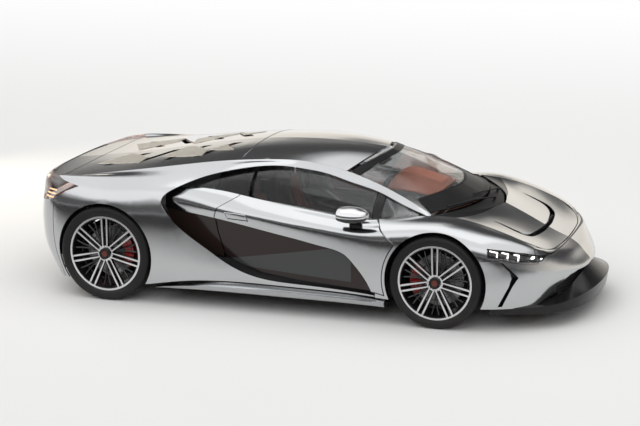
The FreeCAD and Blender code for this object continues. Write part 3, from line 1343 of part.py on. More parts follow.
def tyre(name, side, axle, x):
    """Low-profile tyre with bulged walls."""
    body = wheel_body(name + "_tyre", side, axle, x)
    w = "Sizes.%s_tyre_width" % axle
    r = "Sizes.%s_tyre_radius" % axle
    bead = "(Sizes.%s_rim_radius + Sizes.fit_gap)" % axle
    wall = "(%s + (%s - %s) * 0.5)" % (bead, r, bead)
    lip = "(%s + Sizes.rim_lip)" % bead
    outline = [(w + " * 0.08", bead), (w + " * 0.92", bead), (w + " * 0.92", lip), (w, wall),
               (w + " * 0.93", r), (w + " * 0.07", r), (w + " * 0.002", wall)]
    revolved(body, name + "_tyre", [outline])
    return body


def rim(name, side, axle, x):
    """Alloy rim: barrel with an outer flange, hub and pairs of straight bars."""
    body = wheel_body(name + "_rim", side, axle, x)
    body.AllowCompound = True
    w = "Sizes.%s_tyre_width" % axle
    r = "Sizes.%s_rim_radius" % axle
    face = "(%s * 0.95)" % w
    inner = "(%s - Sizes.rim_wall)" % r
    flange = "(%s * 0.92 + Sizes.fit_gap)" % w
    lip = "(%s + Sizes.rim_lip)" % r
    barrel = [(w + " * 0.06", inner), (face, inner), (face, lip), (flange, lip), (flange, r), (w + " * 0.06", r)]
    hub_front = "(%s - Sizes.rim_wall)" % face
    hub_back = "(%s - Sizes.rim_wall * 9)" % face
    hub = "Sizes.hub_radius"
    cap = "(Sizes.hub_radius * 0.45)"
    boss = [(hub_back, cap), (hub_front, cap), (hub_front, hub), (hub_back, hub + " * 0.9")]
    revolved(body, name + "_rim", [barrel, boss])
    sketch_loops = []
    near = "(Sizes.hub_radius * 0.86)"
    far = "(%s + Sizes.rim_wall * 0.4)" % inner
    low = "(Sizes.spoke_width * 0.3)"
    high = "(Sizes.spoke_spread / 2 - Sizes.spoke_width / 2)"
    for sign in ("", "-"):
        sketch_loops.append([(sign + low, near), (sign + "(%s + Sizes.spoke_width)" % low, near),
                             (sign + "(%s + Sizes.spoke_width)" % high, far), (sign + high, far)])
    bars = bound_sketch(body, name + "_bars", "XZ_Plane", sketch_loops)
    bars.setExpression("AttachmentOffset.Base.z", "-(%s - Sizes.rim_wall * 0.4)" % face)
    pad = body.newObject("PartDesign::Pad", name + "_pad")
    pad.Profile = bars
    pad.setExpression("Length", "Sizes.spoke_depth")
    pattern = body.newObject("PartDesign::PolarPattern", name + "_spokes")
    pattern.Originals = [pad]
    axis = [f for f in body.Origin.OriginFeatures if f.Role == "Y_Axis"][0]
    pattern.Axis = (axis, [""])
    pattern.Angle = 360
    pattern.setExpression("Occurrences", "Sizes.spoke_count")
    body.Tip = pattern
    return body


def disc(name, side, axle, x):
    """Brake disc with its bell, which seats on the back of the hub."""
    body = wheel_body(name + "_disc", side, axle, x)
    w = "Sizes.%s_tyre_width" % axle
    hub_back = "(%s * 0.95 - Sizes.rim_wall * 9 - Sizes.fit_gap)" % w
    outer = "(%s - Sizes.rim_wall * 3)" % hub_back
    inner = "(%s - Sizes.disc_wall)" % outer
    bore = "(Sizes.bearing_radius + Sizes.seam_gap / 3)"
    bell = "(Sizes.hub_radius * 1.25)"
    edge = "Sizes.%s_disc_radius" % axle
    outline = [(inner, bore), (hub_back, bore), (hub_back, "Sizes.hub_radius * 0.85"), (outer, bell),
               (outer, edge), (inner, edge)]
    revolved(body, name + "_disc", [outline])
    return body


for name, axle, side, x in WHEELS:
    tyre(name, side, axle, x)
    rim(name, side, axle, x)
    disc(name, side, axle, x)


# Brakes and suspension of the right side, in car coordinates

def brake_planes(axle):
    """Width positions of the disc's two faces and of the hub's back."""
    width = size(axle + "_tyre_width")
    inner_face = wheel_face(axle) - width
    hub_back = inner_face + width * 0.95 - size("rim_wall") * 9 - fit_gap
    disc_outer = hub_back - size("rim_wall") * 3
    return disc_outer - size("disc_wall"), disc_outer, hub_back


def axle_point(axle, w, dx=0.0, dz=0.0):
    """A point near the right wheel of an axle."""
    x = front_axle if axle == "front" else rear_axle
    return Vector(x + dx, -w, axle_height(axle) + dz)


CALIPER_HALF_ANGLE = 34
CALIPER_RADIUS_SHARES = (0.64, 1.09)
CHEEK_SHARE = 0.72
PLATE_WALL_SHARE = 0.032
EAR_SHARE = 0.36
PLATE_HALF_FACTOR = 1.3
MOUNT_REACH_SHARE = 0.95
PAD_HEIGHT_FACTOR = 3.2
PAD_RADIUS_SHARE = 0.62


def caliper(axle):
    """Right brake caliper astride the disc, behind the front axle or ahead of the rear one."""
    inner, outer, _ = brake_planes(axle)
    disc_radius = size(axle + "_disc_radius")
    gap = size("caliper_gap")
    centre = axle_point(axle, 0)
    cheek = size("disc_wall") * CHEEK_SHARE
    low, high = inner - gap - cheek, outer + gap + cheek
    bore, rim = [disc_radius * share for share in CALIPER_RADIUS_SHARES]
    ring = across(rim, centre.x, centre.z, -high, -low).cut(across(bore, centre.x, centre.z, -high, -low))
    ring = ring.cut(across(disc_radius + gap, centre.x, centre.z, -outer - gap, -inner + gap))
    middle = 180 if axle == "front" else 0
    reach = disc_radius * 2
    wedge = [(centre.x, centre.z)]
    wedge += arc_points((centre.x, centre.z), reach, middle - CALIPER_HALF_ANGLE, middle + CALIPER_HALF_ANGLE, 5)
    return ring.common(raised(wedge, -high, -low))


def plate_planes(axle):
    """Width positions of the two faces of the knuckle or hub carrier."""
    inner, _, _ = brake_planes(axle)
    outer = inner - size("caliper_gap") - size("disc_wall") * CHEEK_SHARE - fit_gap
    return outer - PLATE_WALL_SHARE * half_width, outer


def knuckle(axle):
    """Right upright with its bearing boss, two ball-joint ears and a caliper mount."""
    near, far = plate_planes(axle)
    radius = axle_height(axle)
    ear = radius * EAR_SHARE
    half = size("bearing_radius") * PLATE_HALF_FACTOR
    centre = axle_point(axle, 0)
    plate = box((centre.x - half, centre.x + half), (-far, -near), (centre.z - ear, centre.z + ear))
    boss = across(size("bearing_radius"), centre.x, centre.z, -brake_planes(axle)[2] + fit_gap, -near)
    side = -1 if axle == "front" else 1
    reach = size(axle + "_disc_radius") * MOUNT_REACH_SHARE
    mount = box(sorted((centre.x, centre.x + side * reach)), (-far, -near),
                (centre.z - half, centre.z + half))
    return fused([plate, boss, mount])


def wishbone(axle, level, spread, inner_w, inner_dz):
    """A-arm from a pad at the upright's ear to two tub mounts, right side."""
    near, far = plate_planes(axle)
    radius = size("arm_radius")
    ear = axle_height(axle) * EAR_SHARE * level
    pad_height = radius * PAD_HEIGHT_FACTOR
    start = ear + fit_gap * level if level > 0 else ear - fit_gap - pad_height
    pin = axle_point(axle, (near + far) / 2, 0, start)
    pad = Part.makeCylinder((far - near) * PAD_RADIUS_SHARE, pad_height, pin)
    middle = pin + Vector(0, 0, pad_height / 2)
    pieces = [pad]
    for dx in (-spread, spread):
        pieces.append(rod(middle, axle_point(axle, inner_w, dx, inner_dz), radius))
    return pieces


ARM_SPREAD_SHARE = 0.13
LOWER_SPREAD_FACTOR = 1.25
ARM_RISE_SHARE = 0.42
# Coil-over: width of its foot, of its top and of the arm's tip as shares of the upright, height of its top
FOOT_SHARE = 0.82
TOP_SHARE = 0.58
TIP_SHARE = 1.02
TOP_RISE_SHARE = 0.92
DAMPER_SHARE = 0.8


def axle_suspension(axle):
    """Right wishbones, coil-over and, at the rear, the drive shaft."""
    near, _ = plate_planes(axle)
    radius = axle_height(axle)
    spread = half_width * ARM_SPREAD_SHARE
    seat = WELL_WIDTH_SHARE if axle == "front" else GEARBOX_WIDTH_SHARE
    inner = half_width * (seat - WELL_WALL_SHARE)
    rise = radius * ARM_RISE_SHARE
    lower_spread = spread * LOWER_SPREAD_FACTOR
    pieces = wishbone(axle, 1, spread, inner, rise) + wishbone(axle, -1, lower_spread, inner, -rise)
    foot = axle_point(axle, near * FOOT_SHARE, 0, -rise)
    share = near * (TIP_SHARE - FOOT_SHARE) / (near * TIP_SHARE - inner)
    across_arm = Vector(lower_spread * share, 0, 0)
    pieces.append(rod(foot - across_arm, foot + across_arm, size("arm_radius")))
    top = axle_point(axle, near * TOP_SHARE, 0, radius * TOP_RISE_SHARE)
    damper = Part.makeCylinder(size("damper_radius"), (top - foot).Length * DAMPER_SHARE,
                               foot + (top - foot) * (1 - DAMPER_SHARE), top - foot)
    pieces += [rod(foot, top, size("arm_radius")), damper]
    if axle == "rear":
        pieces.append(rod(axle_point(axle, inner), axle_point(axle, near - fit_gap), size("shaft_radius")))
    plane = half_width * seat + fit_gap
    inside = box((along(2), along(-1)), (-plane, plane), (0, height))
    return fused(pieces).cut(inside)


def arch_liner(axle):
    """Right wheel-arch liner over the inner part of the tyre."""
    x = front_axle if axle == "front" else rear_axle
    z = axle_height(axle)
    wall = size("liner_wall")
    radius = (front_arch if axle == "front" else rear_arch) * LINER_RADIUS_FACTOR
    inner = half_width * LINER_INNER_SHARE
    outer = half_width * (LINER_OUTER_SHARE if axle == "front" else REAR_LINER_OUTER_SHARE)
    shell = across(radius, x, z, -outer, -inner).cut(across(radius - wall, x, z, -outer, -inner))
    keep = arc_points((x, z), radius * 2, LINER_START, 180 - LINER_START, 9)
    return shell.common(raised([(x, z)] + keep, -outer, -inner))


# Door mirror: a rounded pod on a short arm
MIRROR_CENTRE_SHARE = (0.243, 0.968, 0.702)
MIRROR_HALF_SHARE = (0.055, 0.106, 0.052)
MIRROR_BACK_SHARE = 0.6
MIRROR_ARM_WALL_FACTOR = 1.3
MIRROR_FOOT_SHARES = [(0.220, 0.870, 0.612), (0.258, 0.870, 0.615)]
MIRROR_NECK_SHARES = [(0.222, 0.935, 0.675), (0.256, 0.935, 0.675)]


def mirror_pod():
    """Right mirror housing with a flat back for the glass."""
    centre = place(MIRROR_CENTRE_SHARE, RIGHT)
    ball = Part.makeSphere(1)
    ball = ball.common(box((-MIRROR_BACK_SHARE, 1), (-1, 1), (-1, 1)))
    stretch = FreeCAD.Matrix()
    stretch.scale(MIRROR_HALF_SHARE[0] * wheelbase, MIRROR_HALF_SHARE[1] * half_width,
                  MIRROR_HALF_SHARE[2] * height)
    stretch.move(centre)
    return ball.transformGeometry(stretch)


def mirror_arm():
    """Arm that carries the right mirror on the door."""
    front_foot, rear_foot = [place(share, RIGHT) for share in MIRROR_FOOT_SHARES]
    front_neck, rear_neck = [place(share, RIGHT) for share in MIRROR_NECK_SHARES]
    thick = Vector(0, 0, side_wall * MIRROR_ARM_WALL_FACTOR)
    lines = [[front_foot, front_neck], [rear_foot, rear_neck], [rear_foot + thick, rear_neck + thick],
             [front_foot + thick, front_neck + thick]]
    arm = beam(lines)
    return arm.cut(door_block(-fit_gap, size("door_depth"), -overrun))


# Wipers lying on the foot of the windscreen: pivot, elbow and tip of each
WIPER_SHARES = [
    [(-0.183, 0.030, 0.671), (-0.099, -0.203, 0.696), (0.011, -0.508, 0.701)],
    [(-0.141, 0.305, 0.674), (-0.117, 0.122, 0.695), (-0.061, -0.122, 0.715)],
]
WIPER_RADIUS_SHARE = 0.006


def wipers():
    """Two wiper arms with their blades."""
    radius = WIPER_RADIUS_SHARE * half_width
    cowl = halves(slab(cowl_skin.grid((0, 1, 0, 1), (9, 4)), DOWN, -fit_gap, overrun))
    arms = []
    for table in WIPER_SHARES:
        points = [place(share) for share in table]
        pieces = [rod(a, b, radius) for a, b in zip(points, points[1:])]
        pieces.append(rod(points[0] - Vector(0, 0, radius * 3), points[0] + Vector(0, 0, radius), radius * 2))
        arms.append(fused(pieces).cut(cowl))
    return Part.makeCompound(arms)


node("roof", roof())
node("engine_cover", engine_cover())
node("tail_deck", tail_deck())
node("front_lid", front_lid())
node("cowl_panel", cowl_panel())
node("windscreen", windscreen())
node("front_bumper", front_bumper())
node("front_intake_liner", intake_liner())
node("front_splitter", front_splitter())
node("rear_bumper", rear_bumper())
node("rear_grille", rear_grille())
node("rear_diffuser", rear_diffuser())
node("exhaust_tips", exhaust_tips())
node("undertray", undertray())
node("tub", tub())
node("luggage_well", luggage_well())
node("engine_block", engine_block())
node("dashboard", dashboard())
node("steering_wheel", steering_wheel())
node("centre_console", centre_console())
node("wipers", wipers())


def pair(shape):
    """A right piece and its mirror image as one part of two solids."""
    return Part.makeCompound([shape, mirrored(shape)])


for name, shape in (("headlamps", headlamp()), ("tail_lamps", tail_lamps()),
                    ("side_skirts", side_skirt()), ("quarter_panels", quarter_panel()),
                    ("intake_panels", intake_panel()), ("seats", seat()),
                    ("side_glass", Part.makeCompound([quarter_glass(), front_glass()])),
                    ("arch_liners", Part.makeCompound([arch_liner("front"), arch_liner("rear")])),
                    ("front_suspension", axle_suspension("front")),
                    ("rear_suspension", Part.makeCompound([axle_suspension("rear"), knuckle("rear")])),
                    ("rear_calipers", caliper("rear")),
                    ("side_frames", side_frame()), ("front_wings", front_wing())):
    node(name, pair(shape))

for name, shape in (("door", door()), ("door_panel", door_panel()), ("door_glass", door_glass()),
                    ("mirror", fused([mirror_pod(), mirror_arm()])),
                    ("knuckle", knuckle("front")), ("front_caliper", caliper("front"))):
    node("right_" + name, shape)
    node("left_" + name, mirrored(shape))

doc.recompute()
faulty = [o.Name for o in doc.Objects if "Invalid" in o.State or "Error" in o.State]
faulty += [n.Label for n in NODES if n.Shape.isNull() or not n.Shape.isValid() or n.Shape.Volume <= 0]
for n in NODES:
    print(n.Label, len(n.Shape.Solids), round(n.Shape.Volume / 1e6, 3), n.Shape.isValid())
if faulty:
    raise ValueError("faulty sub-parts: %s" % faulty)
os.makedirs("parts", exist_ok=True)
for n in NODES:
    n.Shape.exportStep(os.path.join("parts", n.Label + ".step"))
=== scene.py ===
import json
import math

import bpy
import numpy as np
from mathutils import Matrix


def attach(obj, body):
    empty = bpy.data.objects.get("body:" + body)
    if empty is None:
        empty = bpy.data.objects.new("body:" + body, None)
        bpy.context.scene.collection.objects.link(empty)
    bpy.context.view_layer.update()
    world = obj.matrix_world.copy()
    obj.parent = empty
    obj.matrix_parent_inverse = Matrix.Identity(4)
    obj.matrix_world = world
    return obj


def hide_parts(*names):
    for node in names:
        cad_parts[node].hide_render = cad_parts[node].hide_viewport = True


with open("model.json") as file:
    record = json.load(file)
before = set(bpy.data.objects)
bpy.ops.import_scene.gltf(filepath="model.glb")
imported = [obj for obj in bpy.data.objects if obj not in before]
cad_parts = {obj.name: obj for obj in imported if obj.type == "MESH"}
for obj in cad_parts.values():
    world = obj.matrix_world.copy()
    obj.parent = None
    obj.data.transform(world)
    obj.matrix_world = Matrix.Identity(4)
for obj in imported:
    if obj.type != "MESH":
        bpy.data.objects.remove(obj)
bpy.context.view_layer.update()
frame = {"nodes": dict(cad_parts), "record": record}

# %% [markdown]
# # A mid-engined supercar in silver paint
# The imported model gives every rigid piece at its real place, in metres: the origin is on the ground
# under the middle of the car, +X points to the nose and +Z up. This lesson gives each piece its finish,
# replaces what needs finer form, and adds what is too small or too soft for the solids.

nodes = frame["nodes"]
scene = bpy.context.scene

# %% [markdown]
# ## Camera
# A long lens from far away keeps the car's proportions. Its place and angles were fitted to the wheels
# and to the symmetry of the body, so a piece of known size falls where the photograph shows it.

# %% Camera
CAMERA_PLACE = np.array([5.135, -14.604, 4.48])
CAMERA_YAW, CAMERA_PITCH, CAMERA_ROLL = np.radians([19.62, 14.173, -0.839])
FOCAL_PIXELS, FRAME_WIDTH, SENSOR_WIDTH = 2019.35, 640, 36.0


def camera_axes(yaw, pitch, roll):
    """Right, up and back axes: a yaw about Z, then a pitch down, then a roll about the view."""
    ahead = np.array([-math.sin(yaw) * math.cos(pitch), math.cos(yaw) * math.cos(pitch), -math.sin(pitch)])
    level = np.array([math.cos(yaw), math.sin(yaw), 0.0])
    above = np.cross(level, ahead)
    right = level * math.cos(roll) + above * math.sin(roll)
    return right, above * math.cos(roll) - level * math.sin(roll), -ahead


def standing(axes, place):
    """The matrix of a thing with three axes at a place."""
    made = np.eye(4)
    made[:3, :3] = np.column_stack(axes)
    made[:3, 3] = place
    return Matrix(made.tolist())


camera_data = bpy.data.cameras.new("camera")
camera_data.sensor_width = SENSOR_WIDTH
camera_data.lens = FOCAL_PIXELS / FRAME_WIDTH * SENSOR_WIDTH
camera_data.clip_end = 200
camera = bpy.data.objects.new("camera", camera_data)
camera.matrix_world = standing(camera_axes(CAMERA_YAW, CAMERA_PITCH, CAMERA_ROLL), CAMERA_PLACE)
scene.collection.objects.link(camera)
scene.camera = camera
scene.view_settings.view_transform = "Standard"
print("lens", round(camera_data.lens, 1), "mm")

# %% [markdown]
# ## A studio of plain pale light
# Satin silver has almost no colour of its own: it shows the room. A photographer would set up boards and
# walls round the car. Here they are bands in the world's light, which cost nothing and bake well: bright
# overhead, darker between, and pale at the horizon on the far side. The world is built from a few short
# helpers, each of which places one kind of node.

# %% Node helpers
def material_tree(name):
    """A new material, its node tree and its Principled shader."""
    made = bpy.data.materials.new(name)
    made.use_nodes = True
    return made, made.node_tree, made.node_tree.nodes["Principled BSDF"]


def add(tree, kind, **values):
    """A node of a kind with some of its properties set."""
    made = tree.nodes.new(kind)
    for key, value in values.items():
        setattr(made, key, value)
    return made


def give(tree, socket, value):
    """Give an input a number, a colour's three parts or another node's output; None leaves it as it is."""
    if isinstance(value, bpy.types.NodeSocket):
        tree.links.new(value, socket)
    elif value is not None:
        socket.default_value = (*value, 1) if isinstance(value, tuple) else value


def feed(tree, node, **values):
    """Give a node's inputs by name, with underscores for the name's spaces."""
    for label, value in values.items():
        give(tree, node.inputs[label.replace("_", " ")], value)


def math_node(tree, operation, first, second=None, third=None, clamp=False):
    """A Math node whose inputs are numbers or other sockets."""
    made = add(tree, "ShaderNodeMath", operation=operation, use_clamp=clamp)
    for socket, value in zip(made.inputs, (first, second, third)):
        give(tree, socket, value)
    return made.outputs[0]


def times(tree, first, second, clamp=False):
    """The product of two values, which for two masks is where both are 1."""
    return math_node(tree, "MULTIPLY", first, second, clamp=clamp)


print("helpers for single nodes")


# %% Steps, ramps and mixes
def smooth_range(tree, value, start, end, low=0.0, high=1.0):
    """A smooth step from low to high while the value goes from start to end."""
    made = add(tree, "ShaderNodeMapRange", interpolation_type="SMOOTHSTEP")
    feed(tree, made, Value=value, From_Min=start, From_Max=end, To_Min=low, To_Max=high)
    return made.outputs["Result"]


def past(tree, high, low, steepness):
    """0 where high is under low, 1 a little past it: their difference times a steepness, held in 0 to 1."""
    return times(tree, math_node(tree, "SUBTRACT", high, low), steepness, clamp=True)


def ramp_node(tree, factor, stops):
    """A Color Ramp through (position, grey or colour) stops."""
    made = add(tree, "ShaderNodeValToRGB")
    made.color_ramp.interpolation = "EASE"
    elements = made.color_ramp.elements
    while len(elements) < len(stops):
        elements.new(0.5)
    for element, (position, value) in zip(elements, stops):
        element.position = position
        element.color = (*value, 1) if isinstance(value, tuple) else (value, value, value, 1)
    tree.links.new(factor, made.inputs[0])
    return made.outputs[0]


def mixed(tree, factor, first, second):
    """A mix of two colours, or of two numbers where the first one is a number."""
    made = add(tree, "ShaderNodeMix", data_type="FLOAT" if isinstance(first, float) else "RGBA")
    feed(tree, made, Factor=factor, A=first, B=second)
    return made.outputs["Result"]


def axes_of(tree, coordinate):
    """The X, Y and Z of one kind of coordinate: Object is a point in the piece's own metres."""
    split = add(tree, "ShaderNodeSeparateXYZ")
    tree.links.new(add(tree, "ShaderNodeTexCoord").outputs[coordinate], split.inputs[0])
    return split.outputs


def seen_and_mirrored(tree):
    """Two masks: rays that show the room as it is (camera and see-through rays), and mirror rays."""
    path = add(tree, "ShaderNodeLightPath").outputs
    seen = math_node(tree, "MAXIMUM", path["Is Camera Ray"], path["Is Transmission Ray"])
    return seen, path["Is Glossy Ray"]


print("helpers for steps, ramps and mixes")

# %% [markdown]
# ## The room's light
# The light depends on a ray's lift, 0 straight down and 1 straight up. The near side (where the camera is)
# and the far side have their own ramps, and on the far side a cream board in front and a wall at the rear
# shift the ramp. What the camera sees past the floor is plain white.

# %% The room
NEAR_RAMP = [(0.50, 0.15), (0.60, 0.12), (0.65, 0.60), (0.69, 1.45), (0.80, 1.45), (0.90, 1.3), (1.0, 1.3)]
FAR_RAMP = [(0.50, (1.1, 1.04, 0.95)), (0.585, (1.0, 0.94, 0.85)), (0.625, 0.22), (0.66, 0.08), (0.76, 0.07),
            (0.80, 0.50), (0.86, 1.25), (1.0, 1.3)]
BOARD_START, BOARD_END, BOARD_RISE = (-0.20, 0.0), (0.10, 0.28), 0.10
REAR_WALL, REAR_WALL_RISE = (-0.50, -0.44), 0.09
SIDE_BLEND = 0.9

world = bpy.data.worlds.new("studio")
scene.world = world
world.use_nodes = True
room = world.node_tree
room.nodes.clear()
towards = axes_of(room, "Generated")
lift = math_node(room, "MULTIPLY_ADD", towards["Z"], 0.5, 0.5)
nearness = math_node(room, "MULTIPLY_ADD", towards["Y"], -SIDE_BLEND, 0.5, clamp=True)
board = times(room, smooth_range(room, towards["X"], *BOARD_START, 0.0, BOARD_RISE),
              smooth_range(room, towards["X"], *BOARD_END, 1.0, 0.0))
rear_wall = smooth_range(room, towards["X"], *REAR_WALL, REAR_WALL_RISE, 0.0)
far_lift = math_node(room, "ADD", math_node(room, "SUBTRACT", lift, board), rear_wall)
studio_light = mixed(room, nearness, ramp_node(room, far_lift, FAR_RAMP), ramp_node(room, lift, NEAR_RAMP))
seen, mirrored = seen_and_mirrored(room)
under_horizon = math_node(room, "LESS_THAN", lift, 0.5)
plain_white = math_node(room, "MAXIMUM", seen, times(room, mirrored, under_horizon))
background = add(room, "ShaderNodeBackground")
feed(room, background, Color=mixed(room, plain_white, studio_light, (1, 1, 1)))
room.links.new(background.outputs[0], add(room, "ShaderNodeOutputWorld").inputs["Surface"])
print("room of", len(room.nodes), "nodes")


# %% Lamps
def softbox(name, place, aim, width, depth, power, colour=(1, 1, 1)):
    """A rectangular area lamp that points at aim."""
    lamp = bpy.data.lights.new(name, "AREA")
    lamp.shape = "RECTANGLE"
    lamp.size, lamp.size_y, lamp.energy, lamp.color = width, depth, power, colour
    made = bpy.data.objects.new(name, lamp)
    back = np.array(place, float) - np.array(aim, float)
    back /= np.linalg.norm(back)
    right = np.cross((0.0, 1.0, 0.02), back)
    right /= np.linalg.norm(right)
    made.matrix_world = standing([right, np.cross(back, right), back], place)
    scene.collection.objects.link(made)
    return made


lamps = [softbox("ceiling_light", (0.3, 0.4, 5.2), (0, 0, 0), 6.0, 3.2, 25),
         softbox("warm_rear_light", (-5.2, 2.6, 1.6), (-1.6, 0.2, 0.8), 1.2, 0.8, 30, (1.0, 0.85, 0.62))]
print("lamps", [lamp.name for lamp in lamps])

# %% [markdown]
# ## Surfaces from numpy grids
# A shape is a function of two parameters: whole arrays of points come out of one formula, and the grid's
# neighbours become its quads. Shading is smooth throughout, so a crease needs narrow faces beside it.

# %% From points to a mesh
def mesh_piece(name, points, faces, material, body):
    """A mesh object from a point array and a face array, riding on a body."""
    data = bpy.data.meshes.new(name)
    data.from_pydata(np.asarray(points, float).reshape(-1, 3).tolist(), [], np.asarray(faces).tolist())
    data.polygons.foreach_set("use_smooth", np.full(len(data.polygons), True))
    data.validate()
    made = bpy.data.objects.new(name, data)
    scene.collection.objects.link(made)
    data.materials.append(material)
    if body:
        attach(made, body)
    return made


def grid_faces(rows, columns, close_rows=False, close_columns=False):
    """Quads between the neighbours of a grid; closing joins its last line to its first."""
    last_row = rows if close_rows else rows - 1
    last_column = columns if close_columns else columns - 1
    i, j = np.meshgrid(np.arange(last_row), np.arange(last_column), indexing="ij")
    next_row, next_column = (i + 1) % rows, (j + 1) % columns
    this_line, next_line = i * columns, next_row * columns
    corners = [this_line + j, this_line + next_column, next_line + next_column, next_line + j]
    return np.stack(corners, -1).reshape(-1, 4)


print("a grid of 3 x 3 points has", len(grid_faces(3, 3)), "faces")

# %% [markdown]
# ## The floor
# The floor is a wide pale disc, so that the car keeps its shadow. A real studio curves its floor up into the
# wall; here the disc goes over to white far away instead. On the near side, mirror rays meet a dark floor, as
# they would where a studio isn't lit, and the low sides of the paint get their dark band from it.

# %% The floor
FLOOR_REACH, WHITE_FROM, WHITE_TO = 60.0, 3.0, 16.0
FLOOR_GREY = (0.78, 0.78, 0.772)
LIT_FROM, LIT_TO, UNLIT_GREY = -4.2, -1.9, 0.05
RINGS, SPOKES = 24, 64


def disc_points(reach, rings, spokes):
    """Rings whose radius grows with the square of the ring's number, and a last point in the middle."""
    radius = reach * (np.arange(1, rings + 1) / rings) ** 2
    angle = np.linspace(0, 2 * np.pi, spokes, endpoint=False)
    grid = np.stack([np.outer(radius, np.cos(angle)), np.outer(radius, np.sin(angle)),
                     np.zeros((rings, spokes))], -1)
    return np.vstack([grid.reshape(-1, 3), np.zeros((1, 3))])


def glowing(tree, share, below, colour):
    """A shader that goes over to a plain glow of a colour by a share."""
    glow = add(tree, "ShaderNodeEmission")
    feed(tree, glow, Color=colour)
    made = add(tree, "ShaderNodeMixShader")
    for socket, value in zip(made.inputs, (share, below, glow.outputs[0])):
        tree.links.new(value, socket)
    return made.outputs[0]


floor_finish, tree, shader = material_tree("floor_white")
tree.nodes.remove(shader)
beside = axes_of(tree, "Object")["Y"]
seen, mirrored = seen_and_mirrored(tree)
matte = add(tree, "ShaderNodeBsdfDiffuse")
feed(tree, matte, Color=FLOOR_GREY)
shown = math_node(tree, "MAXIMUM", seen, mirrored)
far_away = times(tree, smooth_range(tree, beside, WHITE_FROM, WHITE_TO), shown)
unlit = times(tree, smooth_range(tree, beside, LIT_FROM, LIT_TO, 1.0, 0.0), mirrored)
whitened = glowing(tree, far_away, matte.outputs[0], (1, 1, 1))
darkened = glowing(tree, unlit, whitened, (UNLIT_GREY, UNLIT_GREY, UNLIT_GREY))
tree.links.new(darkened, tree.nodes["Material Output"].inputs["Surface"])

hub_faces = [[k, (k + 1) % SPOKES, RINGS * SPOKES] for k in range(SPOKES)]
floor_faces = grid_faces(RINGS, SPOKES, close_columns=True).tolist() + hub_faces
data = bpy.data.meshes.new("floor")
data.from_pydata(disc_points(FLOOR_REACH, RINGS, SPOKES).tolist(), [], floor_faces)
floor = bpy.data.objects.new("floor", data)
scene.collection.objects.link(floor)
data.materials.append(floor_finish)
print("floor", len(floor_faces), "faces")

# %% [markdown]
# ## Finishes
# Real paint, leather and metal are never quite even. Pictures of such surfaces could be wrapped round the
# car, but a pattern worked out from a piece's own metres has no seams. Two small shader groups give grain and
# road dust, and each finish places them with its own values. What is the same all over is set on the shader.

# %% Shader groups
def shader_group(name, inputs, outputs):
    """An empty shader group with named float inputs (default value) and outputs."""
    group = bpy.data.node_groups.new(name, "ShaderNodeTree")
    for label, value in inputs:
        socket = group.interface.new_socket(label, in_out="INPUT", socket_type="NodeSocketFloat")
        socket.default_value = value
    for label in outputs:
        group.interface.new_socket(label, in_out="OUTPUT", socket_type="NodeSocketFloat")
    return group, group.nodes.new("NodeGroupInput").outputs, group.nodes.new("NodeGroupOutput").inputs


def object_noise(tree, scale, detail=4.0):
    """Noise in the piece's own metres at a scale, as a 0 to 1 value."""
    noise = add(tree, "ShaderNodeTexNoise")
    spot = add(tree, "ShaderNodeTexCoord").outputs["Object"]
    feed(tree, noise, Vector=spot, Scale=scale, Detail=detail)
    return noise.outputs["Fac"]


grain_group, given, wanted = shader_group(
    "fine_grain", [("Scale", 300.0), ("Low", 0.3), ("High", 0.5)], ["Roughness", "Height"])
speck = object_noise(grain_group, given["Scale"], 5.0)
cloud = object_noise(grain_group, 3.0, 3.0)
mean = times(grain_group, math_node(grain_group, "ADD", speck, cloud), 0.5)
spread = math_node(grain_group, "SUBTRACT", given["High"], given["Low"])
rough = math_node(grain_group, "MULTIPLY_ADD", mean, spread, given["Low"])
grain_group.links.new(rough, wanted["Roughness"])
grain_group.links.new(speck, wanted["Height"])

dust_group, given, wanted = shader_group("road_dust", [("Top", 0.35), ("Amount", 0.3)], ["Dust"])
height = smooth_range(dust_group, axes_of(dust_group, "Object")["Z"], 0.0, given["Top"])
patchy = times(dust_group, math_node(dust_group, "SUBTRACT", 1.0, height), object_noise(dust_group, 14.0))
dust_group.links.new(times(dust_group, patchy, given["Amount"], clamp=True), wanted["Dust"])
print("groups", [group.name for group in bpy.data.node_groups])

# %% [markdown]
# One recipe makes every solid finish: two tones in soft patches, a roughness between two values, and a fine
# relief. The paint is a metal under a thin clear coat; leather and moulded plastic are plain and rougher.

# %% One recipe for solid finishes
DUST_COLOUR, DUST_TOP = (0.36, 0.33, 0.29), 0.32
SECOND_TONE, COAT_ROUGHNESS, GRAIN_DEPTH = 0.82, 0.04, 0.001


def group_node(tree, group, **values):
    """A placed shader group with its inputs set by name."""
    made = add(tree, "ShaderNodeGroup", node_tree=group)
    feed(tree, made, **values)
    return made.outputs


def relief(tree, height, strength, depth=GRAIN_DEPTH, normal=None):
    """The normal that a height gives through a Bump node."""
    made = add(tree, "ShaderNodeBump")
    feed(tree, made, Strength=strength, Distance=depth, Height=height, Normal=normal)
    return made.outputs[0]


def finish(name, colour, roughness, metallic=0.0, grain=300.0, bump=0.05, dust=0.0, second=None, patch=6.0,
           coat=0.0):
    """A finish whose colour varies a little, with grain in roughness and bump, and dust low down."""
    made, tree, shader = material_tree(name)
    low, high = roughness
    fine = group_node(tree, grain_group, Scale=grain, Low=low, High=high)
    other = second or tuple(part * SECOND_TONE for part in colour)
    tone = ramp_node(tree, object_noise(tree, patch), [(0.3, other), (0.7, colour)])
    if dust:
        dusty = group_node(tree, dust_group, Top=DUST_TOP, Amount=dust)["Dust"]
        tone = mixed(tree, dusty, tone, DUST_COLOUR)
    feed(tree, shader, Base_Color=tone, Roughness=fine["Roughness"], Metallic=metallic, Coat_Weight=coat,
         Coat_Roughness=COAT_ROUGHNESS, Normal=relief(tree, fine["Height"], bump))
    return made


